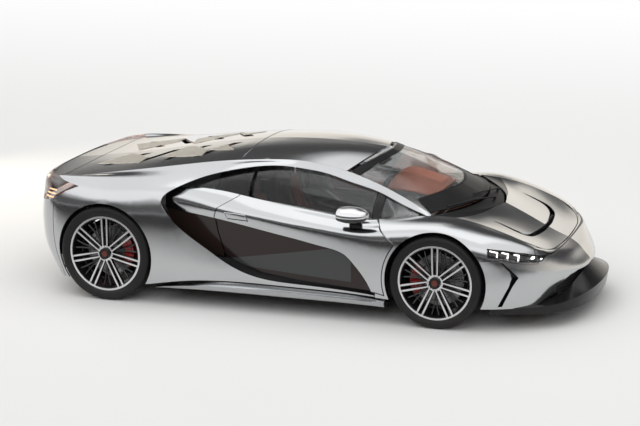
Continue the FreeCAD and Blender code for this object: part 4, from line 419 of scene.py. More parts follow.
print("recipe ready")

# %% Paint, trim and metals
paint = finish("silver_paint", (0.51, 0.52, 0.53), (0.13, 0.18), metallic=1.0, grain=900, bump=0.02,
               second=(0.49, 0.50, 0.51), patch=2.0, coat=0.5, dust=0.04)
gloss_black = finish("gloss_black_trim", (0.010, 0.010, 0.011), (0.16, 0.26), grain=400, bump=0.02, dust=0.06,
                     coat=0.1)
matte_black = finish("moulded_black", (0.022, 0.022, 0.023), (0.45, 0.62), grain=700, bump=0.25, dust=0.15)
cowl_black = finish("cowl_black", (0.018, 0.018, 0.019), (0.30, 0.42), grain=400, bump=0.05, dust=0.03)
tub_black = finish("carbon_tub", (0.028, 0.028, 0.030), (0.35, 0.5), grain=250, bump=0.1)
steel = finish("exhaust_steel", (0.36, 0.34, 0.32), (0.22, 0.36), metallic=1.0, grain=350, bump=0.05)
engine_metal = finish("cast_alloy", (0.34, 0.34, 0.35), (0.4, 0.6), metallic=0.9, grain=220, bump=0.3)
arm_metal = finish("forged_alloy", (0.42, 0.42, 0.43), (0.32, 0.48), metallic=0.9, grain=260, bump=0.2,
                   dust=0.25)
caliper_red = finish("caliper_red", (0.50, 0.018, 0.022), (0.15, 0.26), bump=0.06, coat=0.3, dust=0.1)
tyre_rubber = finish("tyre_rubber", (0.010, 0.010, 0.010), (0.50, 0.66), grain=500, bump=0.25, dust=0.05)
rim_dark = finish("mesh_spoke_dark", (0.055, 0.056, 0.060), (0.22, 0.32), metallic=0.7, grain=400, bump=0.04,
                  coat=0.3, dust=0.08)
disc_iron = finish("brake_iron", (0.32, 0.315, 0.31), (0.28, 0.4), metallic=1.0, grain=500, bump=0.1)
badge_red = finish("cap_red", (0.16, 0.045, 0.035), (0.25, 0.4), grain=600, bump=0.1, metallic=0.5)
lamp_dark = finish("lamp_bowl_dark", (0.035, 0.036, 0.038), (0.15, 0.25), metallic=0.6, bump=0.03)
print("plain finishes", len(bpy.data.materials) - 1)

# %% Leathers
dash_leather = finish("black_leather", (0.030, 0.036, 0.038), (0.45, 0.6), grain=420, bump=0.3)
tan_leather = finish("tan_leather", (0.40, 0.10, 0.045), (0.42, 0.58), grain=420, bump=0.3,
                     second=(0.34, 0.08, 0.035))
salmon_leather = finish("salmon_leather", (0.62, 0.20, 0.12), (0.4, 0.55), grain=420, bump=0.3,
                        second=(0.56, 0.17, 0.10))
print("leathers", [leather.name for leather in (dash_leather, tan_leather, salmon_leather)])

# %% [markdown]
# ## Glass and lit lamps
# A car's panes are thin and tinted. Glass alone bends each ray and would show the cabin dark and full of
# noise, so each pane's shader also has an alpha, which lets part of the light straight through. Lit elements
# give off light, a little unevenly, over a grey plastic. The tail bars' warm glow is painted light: it stands
# for the warm rear light reflected in the tail lamp's lens.

# %% Glass and glow
def glass_finish(name, colour, roughness, alpha):
    """Tinted glass: a clear shader whose own alpha lets the cabin show in thin panes."""
    made, tree, shader = material_tree(name)
    fine = group_node(tree, grain_group, Scale=30.0, Low=roughness, High=roughness + 0.02)
    feed(tree, shader, Base_Color=colour, Transmission_Weight=1.0, IOR=1.45, Roughness=fine["Roughness"],
         Alpha=alpha)
    return made


def glow_finish(name, colour, strength):
    """A glow over grey plastic, for lit lamps and for the tail bars' painted glow; its strength grows by up
    to three tenths of itself in noise.
    """
    made, tree, shader = material_tree(name)
    level = math_node(tree, "MULTIPLY_ADD", object_noise(tree, 90.0), strength * 0.3, strength)
    feed(tree, shader, Base_Color=(0.5, 0.5, 0.5), Emission_Color=colour, Emission_Strength=level)
    return made


window_glass = glass_finish("window_glass", (0.72, 0.80, 0.79), 0.0, 0.42)
side_window_glass = glass_finish("side_window_glass", (0.24, 0.26, 0.26), 0.0, 0.50)
lamp_glass = glass_finish("lamp_glass", (0.94, 0.95, 0.96), 0.0, 0.25)
tail_glass = glass_finish("tail_lamp_glass", (0.22, 0.06, 0.04), 0.02, 0.45)
lamp_beam = glow_finish("lamp_beam", (1.0, 0.98, 0.96), 5.0)
lamp_white = glow_finish("lamp_white", (1.0, 0.98, 0.95), 2.2)
# The tail bars' warm glow is painted light: a painted reflection of the warm rear light in the tail lamp's
# lens.
painted_tail_glow = glow_finish("painted_tail_glow", (1.0, 0.62, 0.30), 1.6)
print("panes", [made.name for made in (window_glass, side_window_glass, lamp_glass, tail_glass)])
print("lit", [made.name for made in (lamp_beam, lamp_white, painted_tail_glow)])

# %% [markdown]
# ## Finishes in two tones
# A wheel is painted dark and then turned bright on its faces, a mirror is black below a height and silver
# above it, the dark door has a greyer field, and a louvre sheet's holes are painted black as the shade seen
# through them. The faces could be split, but a mask worked out from a point's place cuts as sharply on any
# mesh.

# %% The two-tone recipe
def split_finish(name, first, second, mask_of):
    """A finish of two (colour, roughness, metallic); mask_of(tree) gives 1 where the second one shows."""
    made, tree, shader = material_tree(name)
    mask = mask_of(tree)
    colour, roughness, metallic = [mixed(tree, mask, *pair) for pair in zip(first, second)]
    fine = group_node(tree, grain_group, Scale=500.0, Low=0.2, High=0.3)
    feed(tree, shader, Base_Color=colour, Roughness=roughness, Metallic=metallic,
         Normal=relief(tree, fine["Height"], 0.04))
    return made


print("two-tone recipe ready")

# %% The wheels' sizes and their turned faces
# x and height are the axle's place, and the height is the tyre's radius too. The face is the tyre's outer
# plane, the bead the radius where tyre and rim meet, and the width the tyre's. The bars behind the spokes
# reach out to mesh, and the rim's bright edge starts at edge.
WHEEL_SIZES = {"front": {"x": 1.150, "height": 0.350, "face": 0.9646, "bead": 0.270, "width": 0.245,
                         "mesh": 0.252, "edge": 0.2680},
               "rear": {"x": -1.500, "height": 0.373, "face": 0.9748, "bead": 0.283, "width": 0.305,
                        "mesh": 0.264, "edge": 0.2810}}
SPOKE_COUNT, SPOKE_SPREAD, SPOKE_WIDTH, HUB_FACE = 7, 0.021, 0.0068, 0.062
FACE_FLATNESS, OUTER_PLANE = 0.9, 0.935


def facing_out(tree):
    """1 where a wheel's face looks straight out of the car's side, near the wheel's outer plane."""
    flatness = math_node(tree, "ABSOLUTE", axes_of(tree, "Normal")["Y"])
    distance = math_node(tree, "ABSOLUTE", axes_of(tree, "Object")["Y"])
    return times(tree, math_node(tree, "GREATER_THAN", flatness, FACE_FLATNESS),
                 math_node(tree, "GREATER_THAN", distance, OUTER_PLANE))


def machined(tree):
    """1 on a wheel's turned faces: two bars per spoke, the hub's face and the rim's last millimetres.

    The angle round the axle is wrapped into one spoke's share of the turn, so its size times the reach is the
    distance from the spoke's middle, and a bar is where that is within SPOKE_WIDTH of SPOKE_SPREAD.
    """
    spot = axes_of(tree, "Object")
    ahead = math_node(tree, "GREATER_THAN", spot["X"], 0.0)

    def size(key):
        """The front wheels' size ahead of the car's middle, and the rear wheels' behind it."""
        front, rear = WHEEL_SIZES["front"][key], WHEEL_SIZES["rear"][key]
        return math_node(tree, "MULTIPLY_ADD", ahead, front - rear, rear)

    across = math_node(tree, "SUBTRACT", spot["X"], size("x"))
    up = math_node(tree, "SUBTRACT", spot["Z"], size("height"))
    reach = math_node(tree, "SQRT", math_node(tree, "ADD", times(tree, across, across), times(tree, up, up)))
    turn = math_node(tree, "ARCTAN2", across, up)
    wrapped = math_node(tree, "WRAP", turn, np.pi / SPOKE_COUNT, -np.pi / SPOKE_COUNT)
    beside = times(tree, math_node(tree, "ABSOLUTE", wrapped), reach)
    off_bar = math_node(tree, "ABSOLUTE", math_node(tree, "SUBTRACT", beside, SPOKE_SPREAD))
    bright = math_node(tree, "MAXIMUM", math_node(tree, "LESS_THAN", off_bar, SPOKE_WIDTH),
                       math_node(tree, "LESS_THAN", reach, HUB_FACE))
    bright = math_node(tree, "MAXIMUM", bright, math_node(tree, "GREATER_THAN", reach, size("edge")))
    return times(tree, bright, facing_out(tree))


print("spokes", SPOKE_COUNT, "on wheels", list(WHEEL_SIZES))

# %% Mirror, door and louvre masks
MIRROR_SILVER_FROM = 0.812
FIELD_TOP, FIELD_FOOT, FIELD_FRONT = (0.183, 0.486), (-0.05, 0.325), 0.50
HOLE_WAVE, HOLE_SIZE = 330.0, 0.35


def mirror_silver_above(tree):
    """1 above the height where a mirror turns from black to silver, with a narrow soft edge."""
    return past(tree, axes_of(tree, "Object")["Z"], MIRROR_SILVER_FROM, 400.0)


def door_field(tree):
    """1 in the lower door's grey field: between two lines of (slope, height) and behind a station."""
    spot = axes_of(tree, "Object")
    top, foot = [math_node(tree, "MULTIPLY_ADD", spot["X"], *line) for line in (FIELD_TOP, FIELD_FOOT)]
    between = times(tree, past(tree, top, spot["Z"], 300.0), past(tree, spot["Z"], foot, 300.0))
    return times(tree, between, past(tree, FIELD_FRONT, spot["X"], 200.0))


def painted_hole_shade(tree):
    """1 in the small holes of a louvre sheet, painted black as the shade seen through them: where the product
    of two crossing sine waves is high.
    """
    spot = axes_of(tree, "Object")
    waves = [math_node(tree, "SINE", times(tree, spot[axis], HOLE_WAVE)) for axis in ("X", "Y")]
    return math_node(tree, "GREATER_THAN", times(tree, *waves), HOLE_SIZE)


rim_two_tone = split_finish("rim_two_tone", ((0.03, 0.03, 0.033), 0.28, 0.6), ((0.70, 0.70, 0.71), 0.2, 1.0),
                            machined)
mirror_two_tone = split_finish("mirror_two_tone", ((0.012, 0.012, 0.013), 0.16, 0.0),
                               ((0.66, 0.67, 0.68), 0.2, 1.0), mirror_silver_above)
door_two_tone = split_finish("door_two_tone", ((0.022, 0.014, 0.012), 0.14, 0.0),
                             ((0.05, 0.052, 0.052), 0.12, 0.0), door_field)
# The louvre sheet's holes are painted black: painted shade, the dark seen through the perforations.
louvre_sheet = split_finish("louvre_sheet", ((0.74, 0.69, 0.60), 0.35, 0.5), ((0.02, 0.02, 0.02), 0.6, 0.0),
                            painted_hole_shade)
print("two-tone", [made.name for made in (rim_two_tone, mirror_two_tone, door_two_tone, louvre_sheet)])

# %% [markdown]
# ## A crease and a black field in the paint
# The front lid and the nose have a soft crease on the centre line, which parts a light reflection from a dark
# one. A fold in the mesh would show as a line at once, because it is so shallow; folding the paint's normal
# alone gives the two reflections. Behind a curve, the lid carries on the black field at the screen's foot.

# %% Folded and blackened paint
FOLD_SLOPE, LID_REACH, NOSE_REACH = 0.07, 3.0, 0.60
FIELD_X, FIELD_BOW = 1.42, -0.43
FIELD_BLACK, FIELD_SPECULAR = (0.018, 0.018, 0.019), 0.06


def folded(base, name, reach):
    """A copy of a finish with a crease on the centre line: height = -slope (|y| - y^2 / (2 reach))."""
    made = base.copy()
    made.name = name
    tree = made.node_tree
    shader = tree.nodes["Principled BSDF"]
    aside = math_node(tree, "MINIMUM", math_node(tree, "ABSOLUTE", axes_of(tree, "Object")["Y"]), reach)
    fall = math_node(tree, "MULTIPLY_ADD", aside, -0.5 / reach, 1.0)
    height = times(tree, times(tree, aside, fall), -FOLD_SLOPE)
    grain = shader.inputs["Normal"].links[0].from_socket
    feed(tree, shader, Normal=relief(tree, height, 1.0, 1.0, grain))
    return made


def screen_foot(tree):
    """1 behind the curve x = FIELD_X + FIELD_BOW y^2."""
    spot = axes_of(tree, "Object")
    bow = math_node(tree, "MULTIPLY_ADD", times(tree, spot["Y"], spot["Y"]), FIELD_BOW, FIELD_X)
    return past(tree, bow, spot["X"], 500.0)


def blackened(made, mask_of):
    """Turn a metallic finish into plain black under a mask."""
    tree = made.node_tree
    shader = tree.nodes["Principled BSDF"]
    mask = mask_of(tree)
    left = math_node(tree, "SUBTRACT", 1.0, mask)
    tone = shader.inputs["Base Color"].links[0].from_socket
    metallic = times(tree, left, shader.inputs["Metallic"].default_value)
    coat = times(tree, left, shader.inputs["Coat Weight"].default_value)
    feed(tree, shader, Base_Color=mixed(tree, mask, tone, FIELD_BLACK), Metallic=metallic, Coat_Weight=coat,
         Specular_IOR_Level=FIELD_SPECULAR)
    return made


lid_paint = blackened(folded(paint, "silver_paint_folded", LID_REACH), screen_foot)
nose_paint = folded(paint, "silver_paint_nose", NOSE_REACH)
print("creased paints", lid_paint.name, nose_paint.name)

# %% [markdown]
# ## Dress the solids
# The record names a material slot for each solid, and each slot has its finish. Black trim in a pale room
# would turn grey by its reflections, so its specular level is lowered.

# %% Dress the solids
SPECULAR_LEVELS = ((gloss_black, 0.22), (matte_black, 0.22), (tyre_rubber, 0.3), (door_two_tone, 0.35),
                   (side_window_glass, 0.2), (cowl_black, FIELD_SPECULAR))
FINISHES = {
    "body_paint": paint, "dark_panel": door_two_tone, "gloss_black": gloss_black, "glass": window_glass,
    "lamp_glass": lamp_glass, "tail_lamp_glass": tail_glass, "steel": steel, "matte_black": matte_black,
    "tub_black": tub_black, "engine_metal": engine_metal, "dash_leather": dash_leather,
    "seat_leather": tan_leather, "suspension_metal": arm_metal, "caliper_red": caliper_red,
    "tyre_rubber": tyre_rubber, "rim_alloy": rim_two_tone, "disc_iron": disc_iron,
}
OWN_FINISHES = {
    "front_lid": lid_paint, "front_bumper": nose_paint, "cowl_panel": cowl_black,
    "right_door_glass": side_window_glass, "left_door_glass": side_window_glass,
    "side_glass": side_window_glass, "right_mirror": mirror_two_tone, "left_mirror": mirror_two_tone,
}

for dulled, level in SPECULAR_LEVELS:
    feed(dulled.node_tree, dulled.node_tree.nodes["Principled BSDF"], Specular_IOR_Level=level)
slot_of = {entry["node"]: entry["material_slot"] for entry in frame["record"]["subparts"]}
for name, piece in nodes.items():
    piece.data.materials.clear()
    piece.data.materials.append(OWN_FINISHES.get(name) or FINISHES.get(slot_of.get(name), matte_black))
print("dressed", len(nodes), "nodes;", sum(slot_of.get(name) is None for name in nodes), "without a slot")

# %% [markdown]
# ## Ways to make a surface
# Most of what follows is one of four kinds: a profile turned about an axle, a tube along a line, a sheet
# between two grids that may be laid on a panel, or a padded form that swells between its seams. Each kind is
# one function of whole arrays, so a piece is a line or two.

# %% Turned profiles
WHEELS = {word + "_" + end: (WHEEL_SIZES[end], side) for end in WHEEL_SIZES
          for word, side in (("right", -1), ("left", 1))}


def turned(profile, wheel, side, segments, ripple=None):
    """A profile of (depth inwards, radius) turned about a wheel's axle.

    From the axle, x is the radius times the angle's cosine and z the radius times its sine; y is the wheel's
    outer plane less the depth. A ripple, which is a function of depth and angle, is added to the radius.
    """
    depth, radius = np.asarray(profile, float).T
    angle = np.linspace(0, 2 * np.pi, segments, endpoint=False)
    radius = np.repeat(radius[:, None], segments, 1)
    depth = np.repeat(depth[:, None], segments, 1)
    if ripple is not None:
        radius = radius + ripple(depth, angle[None, :])
    return np.stack([wheel["x"] + radius * np.cos(angle), side * (wheel["face"] - depth),
                     wheel["height"] + radius * np.sin(angle)], -1)


def spots_of(data):
    """A mesh's points as an array of rows."""
    spots = np.empty(len(data.vertices) * 3)
    data.vertices.foreach_get("co", spots)
    return spots.reshape(-1, 3)


def outward(piece):
    """Turn a closed mesh's faces outward: the sum of a . (b x c) over its triangles comes out positive."""
    data = piece.data
    data.calc_loop_triangles()
    corners = np.empty(len(data.loop_triangles) * 3, int)
    data.loop_triangles.foreach_get("vertices", corners)
    a, b, c = spots_of(data)[corners.reshape(-1, 3)].transpose(1, 0, 2)
    if np.einsum("ij,ij->", a, np.cross(b, c)) < 0:
        data.flip_normals()
    return piece


def ring_piece(name, grid, material, body):
    """A piece from a turned profile that closes on itself."""
    rows, columns = grid.shape[:2]
    return outward(mesh_piece(name, grid, grid_faces(rows, columns, True, True), material, body))


print("ready for", len(WHEELS), "wheels")


# %% Lines, tubes and bands
def smooth_line(points, count):
    """A smooth curve through points, as an array of count points.

    Between two of the points it is the cubic whose slope at each of them is half the step between that
    point's neighbours. An end point's missing neighbour is its other neighbour mirrored through it.
    """
    points = np.asarray(points, float)
    padded = np.vstack([2 * points[0] - points[1], points, 2 * points[-1] - points[-2]])
    place = np.linspace(0, len(points) - 1, count)
    k = np.minimum(place.astype(int), len(points) - 2)
    t = (place - k)[:, None]
    a, b, c, d = padded[k], padded[k + 1], padded[k + 2], padded[k + 3]
    bend, twist = 2 * a - 5 * b + 4 * c - d, 3 * b - a - 3 * c + d
    return 0.5 * (2 * b + (c - a) * t + bend * t ** 2 + twist * t ** 3)


def tube(line, radius, sides=8, flat=1.0):
    """A closed tube along a line: rings square to it, drawn together at both ends; flat scales one width."""
    line = np.asarray(line, float)
    ahead = np.gradient(line, axis=0)
    ahead /= np.linalg.norm(ahead, axis=1)[:, None]
    up = np.cross(ahead, (0.13, 0.27, 0.95))
    up /= np.linalg.norm(up, axis=1)[:, None]
    other = np.cross(ahead, up)
    angle = np.linspace(0, 2 * np.pi, sides, endpoint=False)
    radius = np.broadcast_to(radius, len(line)).astype(float).copy()
    start = line[:1] - ahead[:1] * radius[0] * 0.3
    line = np.vstack([start, line, line[-1:] + ahead[-1:] * radius[-1] * 0.3])
    up, other = [np.vstack([way[:1], way, way[-1:]]) for way in (up, other)]
    radius = np.concatenate([[radius[0] * 0.05], radius, [radius[-1] * 0.05]])
    ring = up[:, None] * np.cos(angle)[None, :, None] + other[:, None] * np.sin(angle)[None, :, None] * flat
    return line[:, None] + ring * radius[:, None, None]


def gathered(shapes):
    """One point array and one face array from several grids closed across their columns."""
    points, faces, start = [], [], 0
    for grid in shapes:
        rows, columns = grid.shape[:2]
        points.append(grid.reshape(-1, 3))
        faces.append(grid_faces(rows, columns, close_columns=True) + start)
        start += rows * columns
    return np.vstack(points), np.vstack(faces)


def band(edge_a, edge_b, count=40, across=6):
    """A grid between two smooth edges: edge a x (1 - share) + edge b x share."""
    a, b = smooth_line(edge_a, count), smooth_line(edge_b, count)
    share = np.linspace(0, 1, across)[None, :, None]
    return a[:, None] * (1 - share) + b[:, None] * share


print("a line of 5 points", smooth_line([(0, 0), (1, 1), (2, 0)], 5)[:, 1])


# %% Closed sheets, and sheets laid on a panel
def closed_sheet(name, low, top, material, body):
    """A closed shell between two grids of the same shape: the low grid, the top one, and walls round them."""
    rows, columns = low.shape[:2]
    shell = np.concatenate([low, top[:, ::-1]], axis=1)
    k = np.arange(columns - 1)
    end = np.stack([k, k + 1, 2 * columns - 2 - k, 2 * columns - 1 - k], -1)
    far_end = end[:, ::-1] + (rows - 1) * columns * 2
    faces = np.vstack([grid_faces(rows, columns * 2, close_columns=True), end, far_end])
    return outward(mesh_piece(name, shell, faces, material, body))


def bridged(spots, grid, k):
    """Points that missed the panel didn't move: they get their neighbours' mean on axis k, ring by ring."""
    fall = spots[..., k]
    missed = np.abs(fall - grid[..., k]) < 1e-6
    fall = np.where(missed, np.nan, fall)
    while np.isnan(fall).any() and not np.isnan(fall).all():
        ring = np.pad(fall, 1, constant_values=np.nan)
        beside = np.stack([ring[:-2, 1:-1], ring[2:, 1:-1], ring[1:-1, :-2], ring[1:-1, 2:]])
        count = (~np.isnan(beside)).sum(0)
        mean = np.where(count > 0, np.nansum(beside, 0) / np.maximum(count, 1), np.nan)
        fall = np.where(np.isnan(fall), mean, fall)
    spots[..., k] = fall
    return spots


def dropped(grid, node, axis, way):
    """A grid's points where they meet a CAD panel along an axis."""
    rows, columns = grid.shape[:2]
    piece = mesh_piece("dropped", grid, grid_faces(rows, columns), None, None)
    drop = piece.modifiers.new("drop", "SHRINKWRAP")
    drop.target = nodes[node]
    drop.wrap_method = "PROJECT"
    setattr(drop, "use_project_" + axis, True)
    drop.use_negative_direction, drop.use_positive_direction = way < 0, way > 0
    bpy.context.view_layer.update()
    made = bpy.data.meshes.new_from_object(piece.evaluated_get(bpy.context.evaluated_depsgraph_get()))
    spots = spots_of(made).reshape(rows, columns, 3)
    bpy.data.objects.remove(piece)
    return bridged(spots, grid, "xyz".index(axis))


def laid(name, grid, node, axis, way, sheet, material, body):
    """A thin sheet of (offset, thickness) on a CAD panel.

    The grid's points where they meet the panel move out along the surface's normal, by the offset for the low
    side and by the offset and the thickness for the top. An offset below 0 sets the sheet inside the panel.
    """
    offset, thick = sheet
    spots = dropped(grid, node, axis, way)
    normal = np.cross(*np.gradient(spots, axis=(0, 1)))
    normal /= np.maximum(np.linalg.norm(normal, axis=2), 1e-9)[..., None]
    normal *= np.sign(-way * normal[..., "xyz".index(axis)].mean())
    return closed_sheet(name, spots + normal * offset, spots + normal * (offset + thick), material, body)


def both_sides(make):
    """Make a piece for each side of the car: make(word, sign)."""
    return [make("right", -1), make("left", 1)]


print("sheets ready")

# %% [markdown]
# ## Tyres and wheels
# A tyre is a rubber ring with blocks moulded into its tread. The blocks could be cut one by one; here the
# tyre is one profile turned about the axle, and its tread is a ripple of the radius: three grooves run round
# it and slanted cuts cross the shoulders, so no cut can break the mesh.

# %% Tyres
TYRE_SEGMENTS, SEAT_GAP, GROOVE_DEPTH = 336, 0.001, 0.006
TYRE_SECTION = [(0.09, 0.0), (0.035, 0.2), (0.0, 0.52), (0.018, 0.8), (0.07, 0.955), (0.16, 0.99), (0.5, 1.0),
                (0.84, 0.99), (0.93, 0.955), (0.982, 0.8), (1.0, 0.52), (0.965, 0.2), (0.91, 0.0)]


def tyre_profile(wheel, count=64):
    """A section over the tyre from bead to bead: shares of its width and of its wall's height."""
    share = smooth_line(TYRE_SECTION, count)
    foot = wheel["bead"] + SEAT_GAP
    return np.stack([share[:, 0] * wheel["width"], foot + share[:, 1] * (wheel["height"] - foot)], -1)


def tread_ripple(width):
    """Three grooves, each a bell curve of the depth, and shoulder cuts where a slanted cosine is high."""
    def ripple(depth, angle):
        share = depth / width
        tread = np.clip((np.minimum(share, 1 - share) - 0.055) * 60, 0, 1)
        rings = np.exp(-((share[..., None] - np.array([0.3, 0.5, 0.7])) / 0.012) ** 2).sum(-1)
        cuts = np.clip(np.cos(84 * angle + 14 * np.abs(share - 0.5) * 6) - 0.72, 0, 1) * 3.5
        shoulder = np.clip((np.abs(share - 0.5) - 0.21) * 30, 0, 1)
        return -GROOVE_DEPTH * tread * np.clip(rings + cuts * shoulder, 0, 1)
    return ripple


for name, (wheel, side) in WHEELS.items():
    width, foot = wheel["width"], wheel["bead"] + SEAT_GAP
    tread = turned(tyre_profile(wheel), wheel, side, TYRE_SEGMENTS, tread_ripple(width))
    seat = turned([(width * 0.9, foot), (width * 0.1, foot)], wheel, side, TYRE_SEGMENTS)
    tyre = ring_piece(name + "_tread_tyre", np.concatenate([tread, seat]), tyre_rubber, name + "_wheel")
    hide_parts(name + "_tyre")
print("tyres", len(WHEELS))

# %% [markdown]
# Behind the seven bright double spokes lies a dark mesh of thin bars and rings, cast in one with the rim on
# the real wheel. A pattern in the shader would look flat as the wheel turns, so tubes along computed lines
# give it, a little inside the spokes. A notched nut and a plain cap close the middle.

# %% Mesh spokes
BAR_RADIUS, MESH_DEPTH = 0.0042, 0.012
RING_RADIUS, RING_DEPTH, RING_SHARES = 0.0032, 0.060, (0.56, 0.80)


def forked_bars(radius, pairs):
    """Lines of (reach, angle, depth) behind the spokes.

    In each gap two bars leave the hub together and part with the share of the way to the power 1.5. The last
    gap has two more, short ones, which part evenly.
    """
    share = np.linspace(0, 1, 16)
    reach, depth = radius * (0.22 + 0.77 * share), 0.036 - 0.016 * share ** 2
    part = 0.02 + 0.10 * share ** 1.5
    middles = 2 * np.pi * (np.arange(pairs) + 0.5) / pairs + np.pi / 2
    lines = [(reach, middle + lean * part, depth) for middle in middles for lean in (-1, 1)]
    share = np.linspace(0, 1, 12)
    reach, depth = radius * (0.50 + 0.49 * share), 0.050 - 0.020 * share
    part = 0.42 * (0.42 + 0.30 * share)
    return lines + [(reach, middles[-1] + lean * part, depth) for lean in (-1, 1)]


def wheel_line(wheel, side, reach, turn, depth):
    """Points at a reach and an angle round an axle, at a depth from the wheel's outer plane."""
    return np.stack(np.broadcast_arrays(wheel["x"] + reach * np.cos(turn), side * (wheel["face"] - depth),
                                        wheel["height"] + reach * np.sin(turn)), -1)


def mesh_spokes(name, wheel, side):
    """The bars behind one wheel's spokes, flattened one way, and the two rings that tie them."""
    shapes = [tube(wheel_line(wheel, side, reach, turn, MESH_DEPTH + depth), BAR_RADIUS, 6, 1.7)
              for reach, turn, depth in forked_bars(wheel["mesh"], SPOKE_COUNT)]
    for share in RING_SHARES:
        ring = wheel_line(wheel, side, wheel["mesh"] * share, np.linspace(0, 2 * np.pi, 73), RING_DEPTH)
        shapes.append(tube(ring, RING_RADIUS, 6))
    return outward(mesh_piece(name + "_mesh_spokes", *gathered(shapes), rim_dark, name + "_wheel"))


print("bars on a wheel", len(forked_bars(1, SPOKE_COUNT)))

# %% Centre nuts and caps
NUT = [(0.030, 0.0005), (0.030, 0.040), (0.004, 0.044), (0.001, 0.040), (0.002, 0.031), (0.008, 0.029),
       (0.009, 0.0005)]
CAP = [(0.0089, 0.0004), (0.0089, 0.026), (0.0060, 0.0262), (0.0035, 0.022), (0.0026, 0.012),
       (0.0024, 0.0004)]
NOTCHES, NOTCH_DEPTH, NOTCH_LENGTH = 12, 0.0022, 0.026


def notched(depth, angle):
    """Notches round the nut: the radius drops where a cosine is high, over the notch's length."""
    return -NOTCH_DEPTH * (np.cos(NOTCHES * angle) > 0.6) * (depth < NOTCH_LENGTH)


for name, (wheel, side) in WHEELS.items():
    mesh_spokes(name, wheel, side)
    ring_piece(name + "_centre_nut", turned(NUT, wheel, side, 96, notched), gloss_black, name + "_wheel")
    ring_piece(name + "_centre_cap", turned(CAP, wheel, side, 64), badge_red, name + "_wheel")
print("meshes, nuts and caps", 3 * len(WHEELS))

# %% [markdown]
# ## Seats
# A seat is leather over foam: it swells between its seams and is held down at them. A cloth simulation could
# find that shape, but takes minutes; here each pad is a crowned closed form along a side line, pulled in at
# its ends and pinched at its sewn channels. A tan centre lies between black bolsters.

# %% Padded forms
def pad(line, half_width, thick, centre_y, channels=0, rows=56, around=28):
    """A closed pad whose foot follows a side line of (x, z).

    Its swell is the root of 1 - |2 share - 1|^6, less a dip at each channel. Round a section, the half width
    goes with |cos|^0.55 and the lift above the line with |sin|^0.8, and with a third of that below it.
    """
    path = smooth_line(line, rows)
    ahead = np.gradient(path, axis=0)
    ahead /= np.linalg.norm(ahead, axis=1)[:, None]
    up = np.stack([-ahead[:, 1], ahead[:, 0]], -1)
    share = np.linspace(0, 1, rows)
    swell = np.clip(1 - np.abs(2 * share - 1) ** 6, 0.0, 1) ** 0.5
    if channels:
        swell = swell * (1 - 0.22 * np.exp(-((np.abs((share * (channels + 1)) % 1 - 0.5) - 0.5) / 0.06) ** 2))
    angle = np.linspace(0, 2 * np.pi, around, endpoint=False)
    wide = np.sign(np.cos(angle)) * np.abs(np.cos(angle)) ** 0.55
    high = np.sign(np.sin(angle)) * np.abs(np.sin(angle)) ** 0.8
    high = np.where(high > 0, high, high * 0.35)
    side = centre_y + half_width * wide[None, :] * (0.86 + 0.14 * swell[:, None])
    lift = thick * high[None, :] * (0.02 + 0.98 * swell[:, None])
    return np.stack([path[:, 0, None] + up[:, 0, None] * lift, np.broadcast_to(side, lift.shape),
                     path[:, 1, None] + up[:, 1, None] * lift], -1)


print("a pad has", pad([(0, 0), (1, 0)], 0.1, 0.04, 0).shape[:2], "points")

# %% Seats
SEAT_CENTRE, BOLSTER_RISE = 0.360, 0.006
BASE_LINE = [(0.235, 0.235), (0.150, 0.262), (0.020, 0.248), (-0.100, 0.232), (-0.190, 0.245)]
BACK_LINE = [(-0.262, 0.285), (-0.310, 0.400), (-0.365, 0.545), (-0.418, 0.690), (-0.440, 0.765)]
HEAD_LINE = [(-0.448, 0.800), (-0.462, 0.850), (-0.480, 0.900)]
BOLSTER_LINE = [(x, z + BOLSTER_RISE) for x, z in BASE_LINE]


def seat_pieces(word, sign):
    """Centre pads, bolsters and head pad of one seat."""
    middle = sign * SEAT_CENTRE
    centre = [pad(BASE_LINE, 0.118, 0.040, middle, 3), pad(BACK_LINE, 0.112, 0.040, middle, 5)]
    outer = [pad(HEAD_LINE, 0.100, 0.040, middle, 0, 30)]
    for lean in (-1, 1):
        outer.append(pad(BOLSTER_LINE, 0.026, 0.062, middle + lean * 0.140))
        outer.append(pad(BACK_LINE, 0.026, 0.070, middle + lean * 0.134))
    pieces = [mesh_piece(word + "_seat_centre", *gathered(centre), tan_leather, "chassis"),
              mesh_piece(word + "_seat_bolsters", *gathered(outer), dash_leather, "chassis")]
    for piece in pieces:
        outward(piece)
        smooth = piece.modifiers.new("smooth", "SUBSURF")
        smooth.levels = smooth.render_levels = 1
    return pieces


seat_parts = [piece for pair in both_sides(seat_pieces) for piece in pair]
for piece in seat_parts:
    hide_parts("seats")
print("seat parts", len(seat_parts))

# %% [markdown]
# ## Dashboard, mirror and door cards
# On the driver's side the dashboard's top is a moulded panel in salmon leather, with a hood over the
# instruments. It could be sculpted; a smooth surface through six lines from the cabin to the screen keeps its
# sizes in sight. The rear-view mirror is a flat tube on a stalk, and each door has a tan card on its inside.

# %% Dashboard pad and rear-view mirror
HOOD_HEIGHTS = ((0.62, 0.000), (0.55, 0.045), (0.36, 0.060), (0.17, 0.050), (0.06, 0.010), (0.0, 0.0))
PAD_THICKNESS, HOOD_THICKENS, HOOD_FROM = 0.014, 0.5, 0.80
MIRROR_LINE = [(0.470, -0.11, 1.018), (0.476, -0.05, 1.026), (0.476, 0.05, 1.026), (0.470, 0.11, 1.018)]
STALK_LINE = [(0.480, 0, 1.030), (0.500, 0, 1.048), (0.515, 0, 1.066)]
STALK_RADIUS = 0.006


def pad_line(y, hood):
    """One line of the dashboard's top at a distance y from the car's middle, raised by the hood's height."""
    return smooth_line([(0.470, y, 0.786), (0.500, y, 0.812 + hood), (0.620, y, 0.806 + hood),
                        (0.760, y, 0.790 + hood * 0.4), (0.880, y, 0.766)], 20)


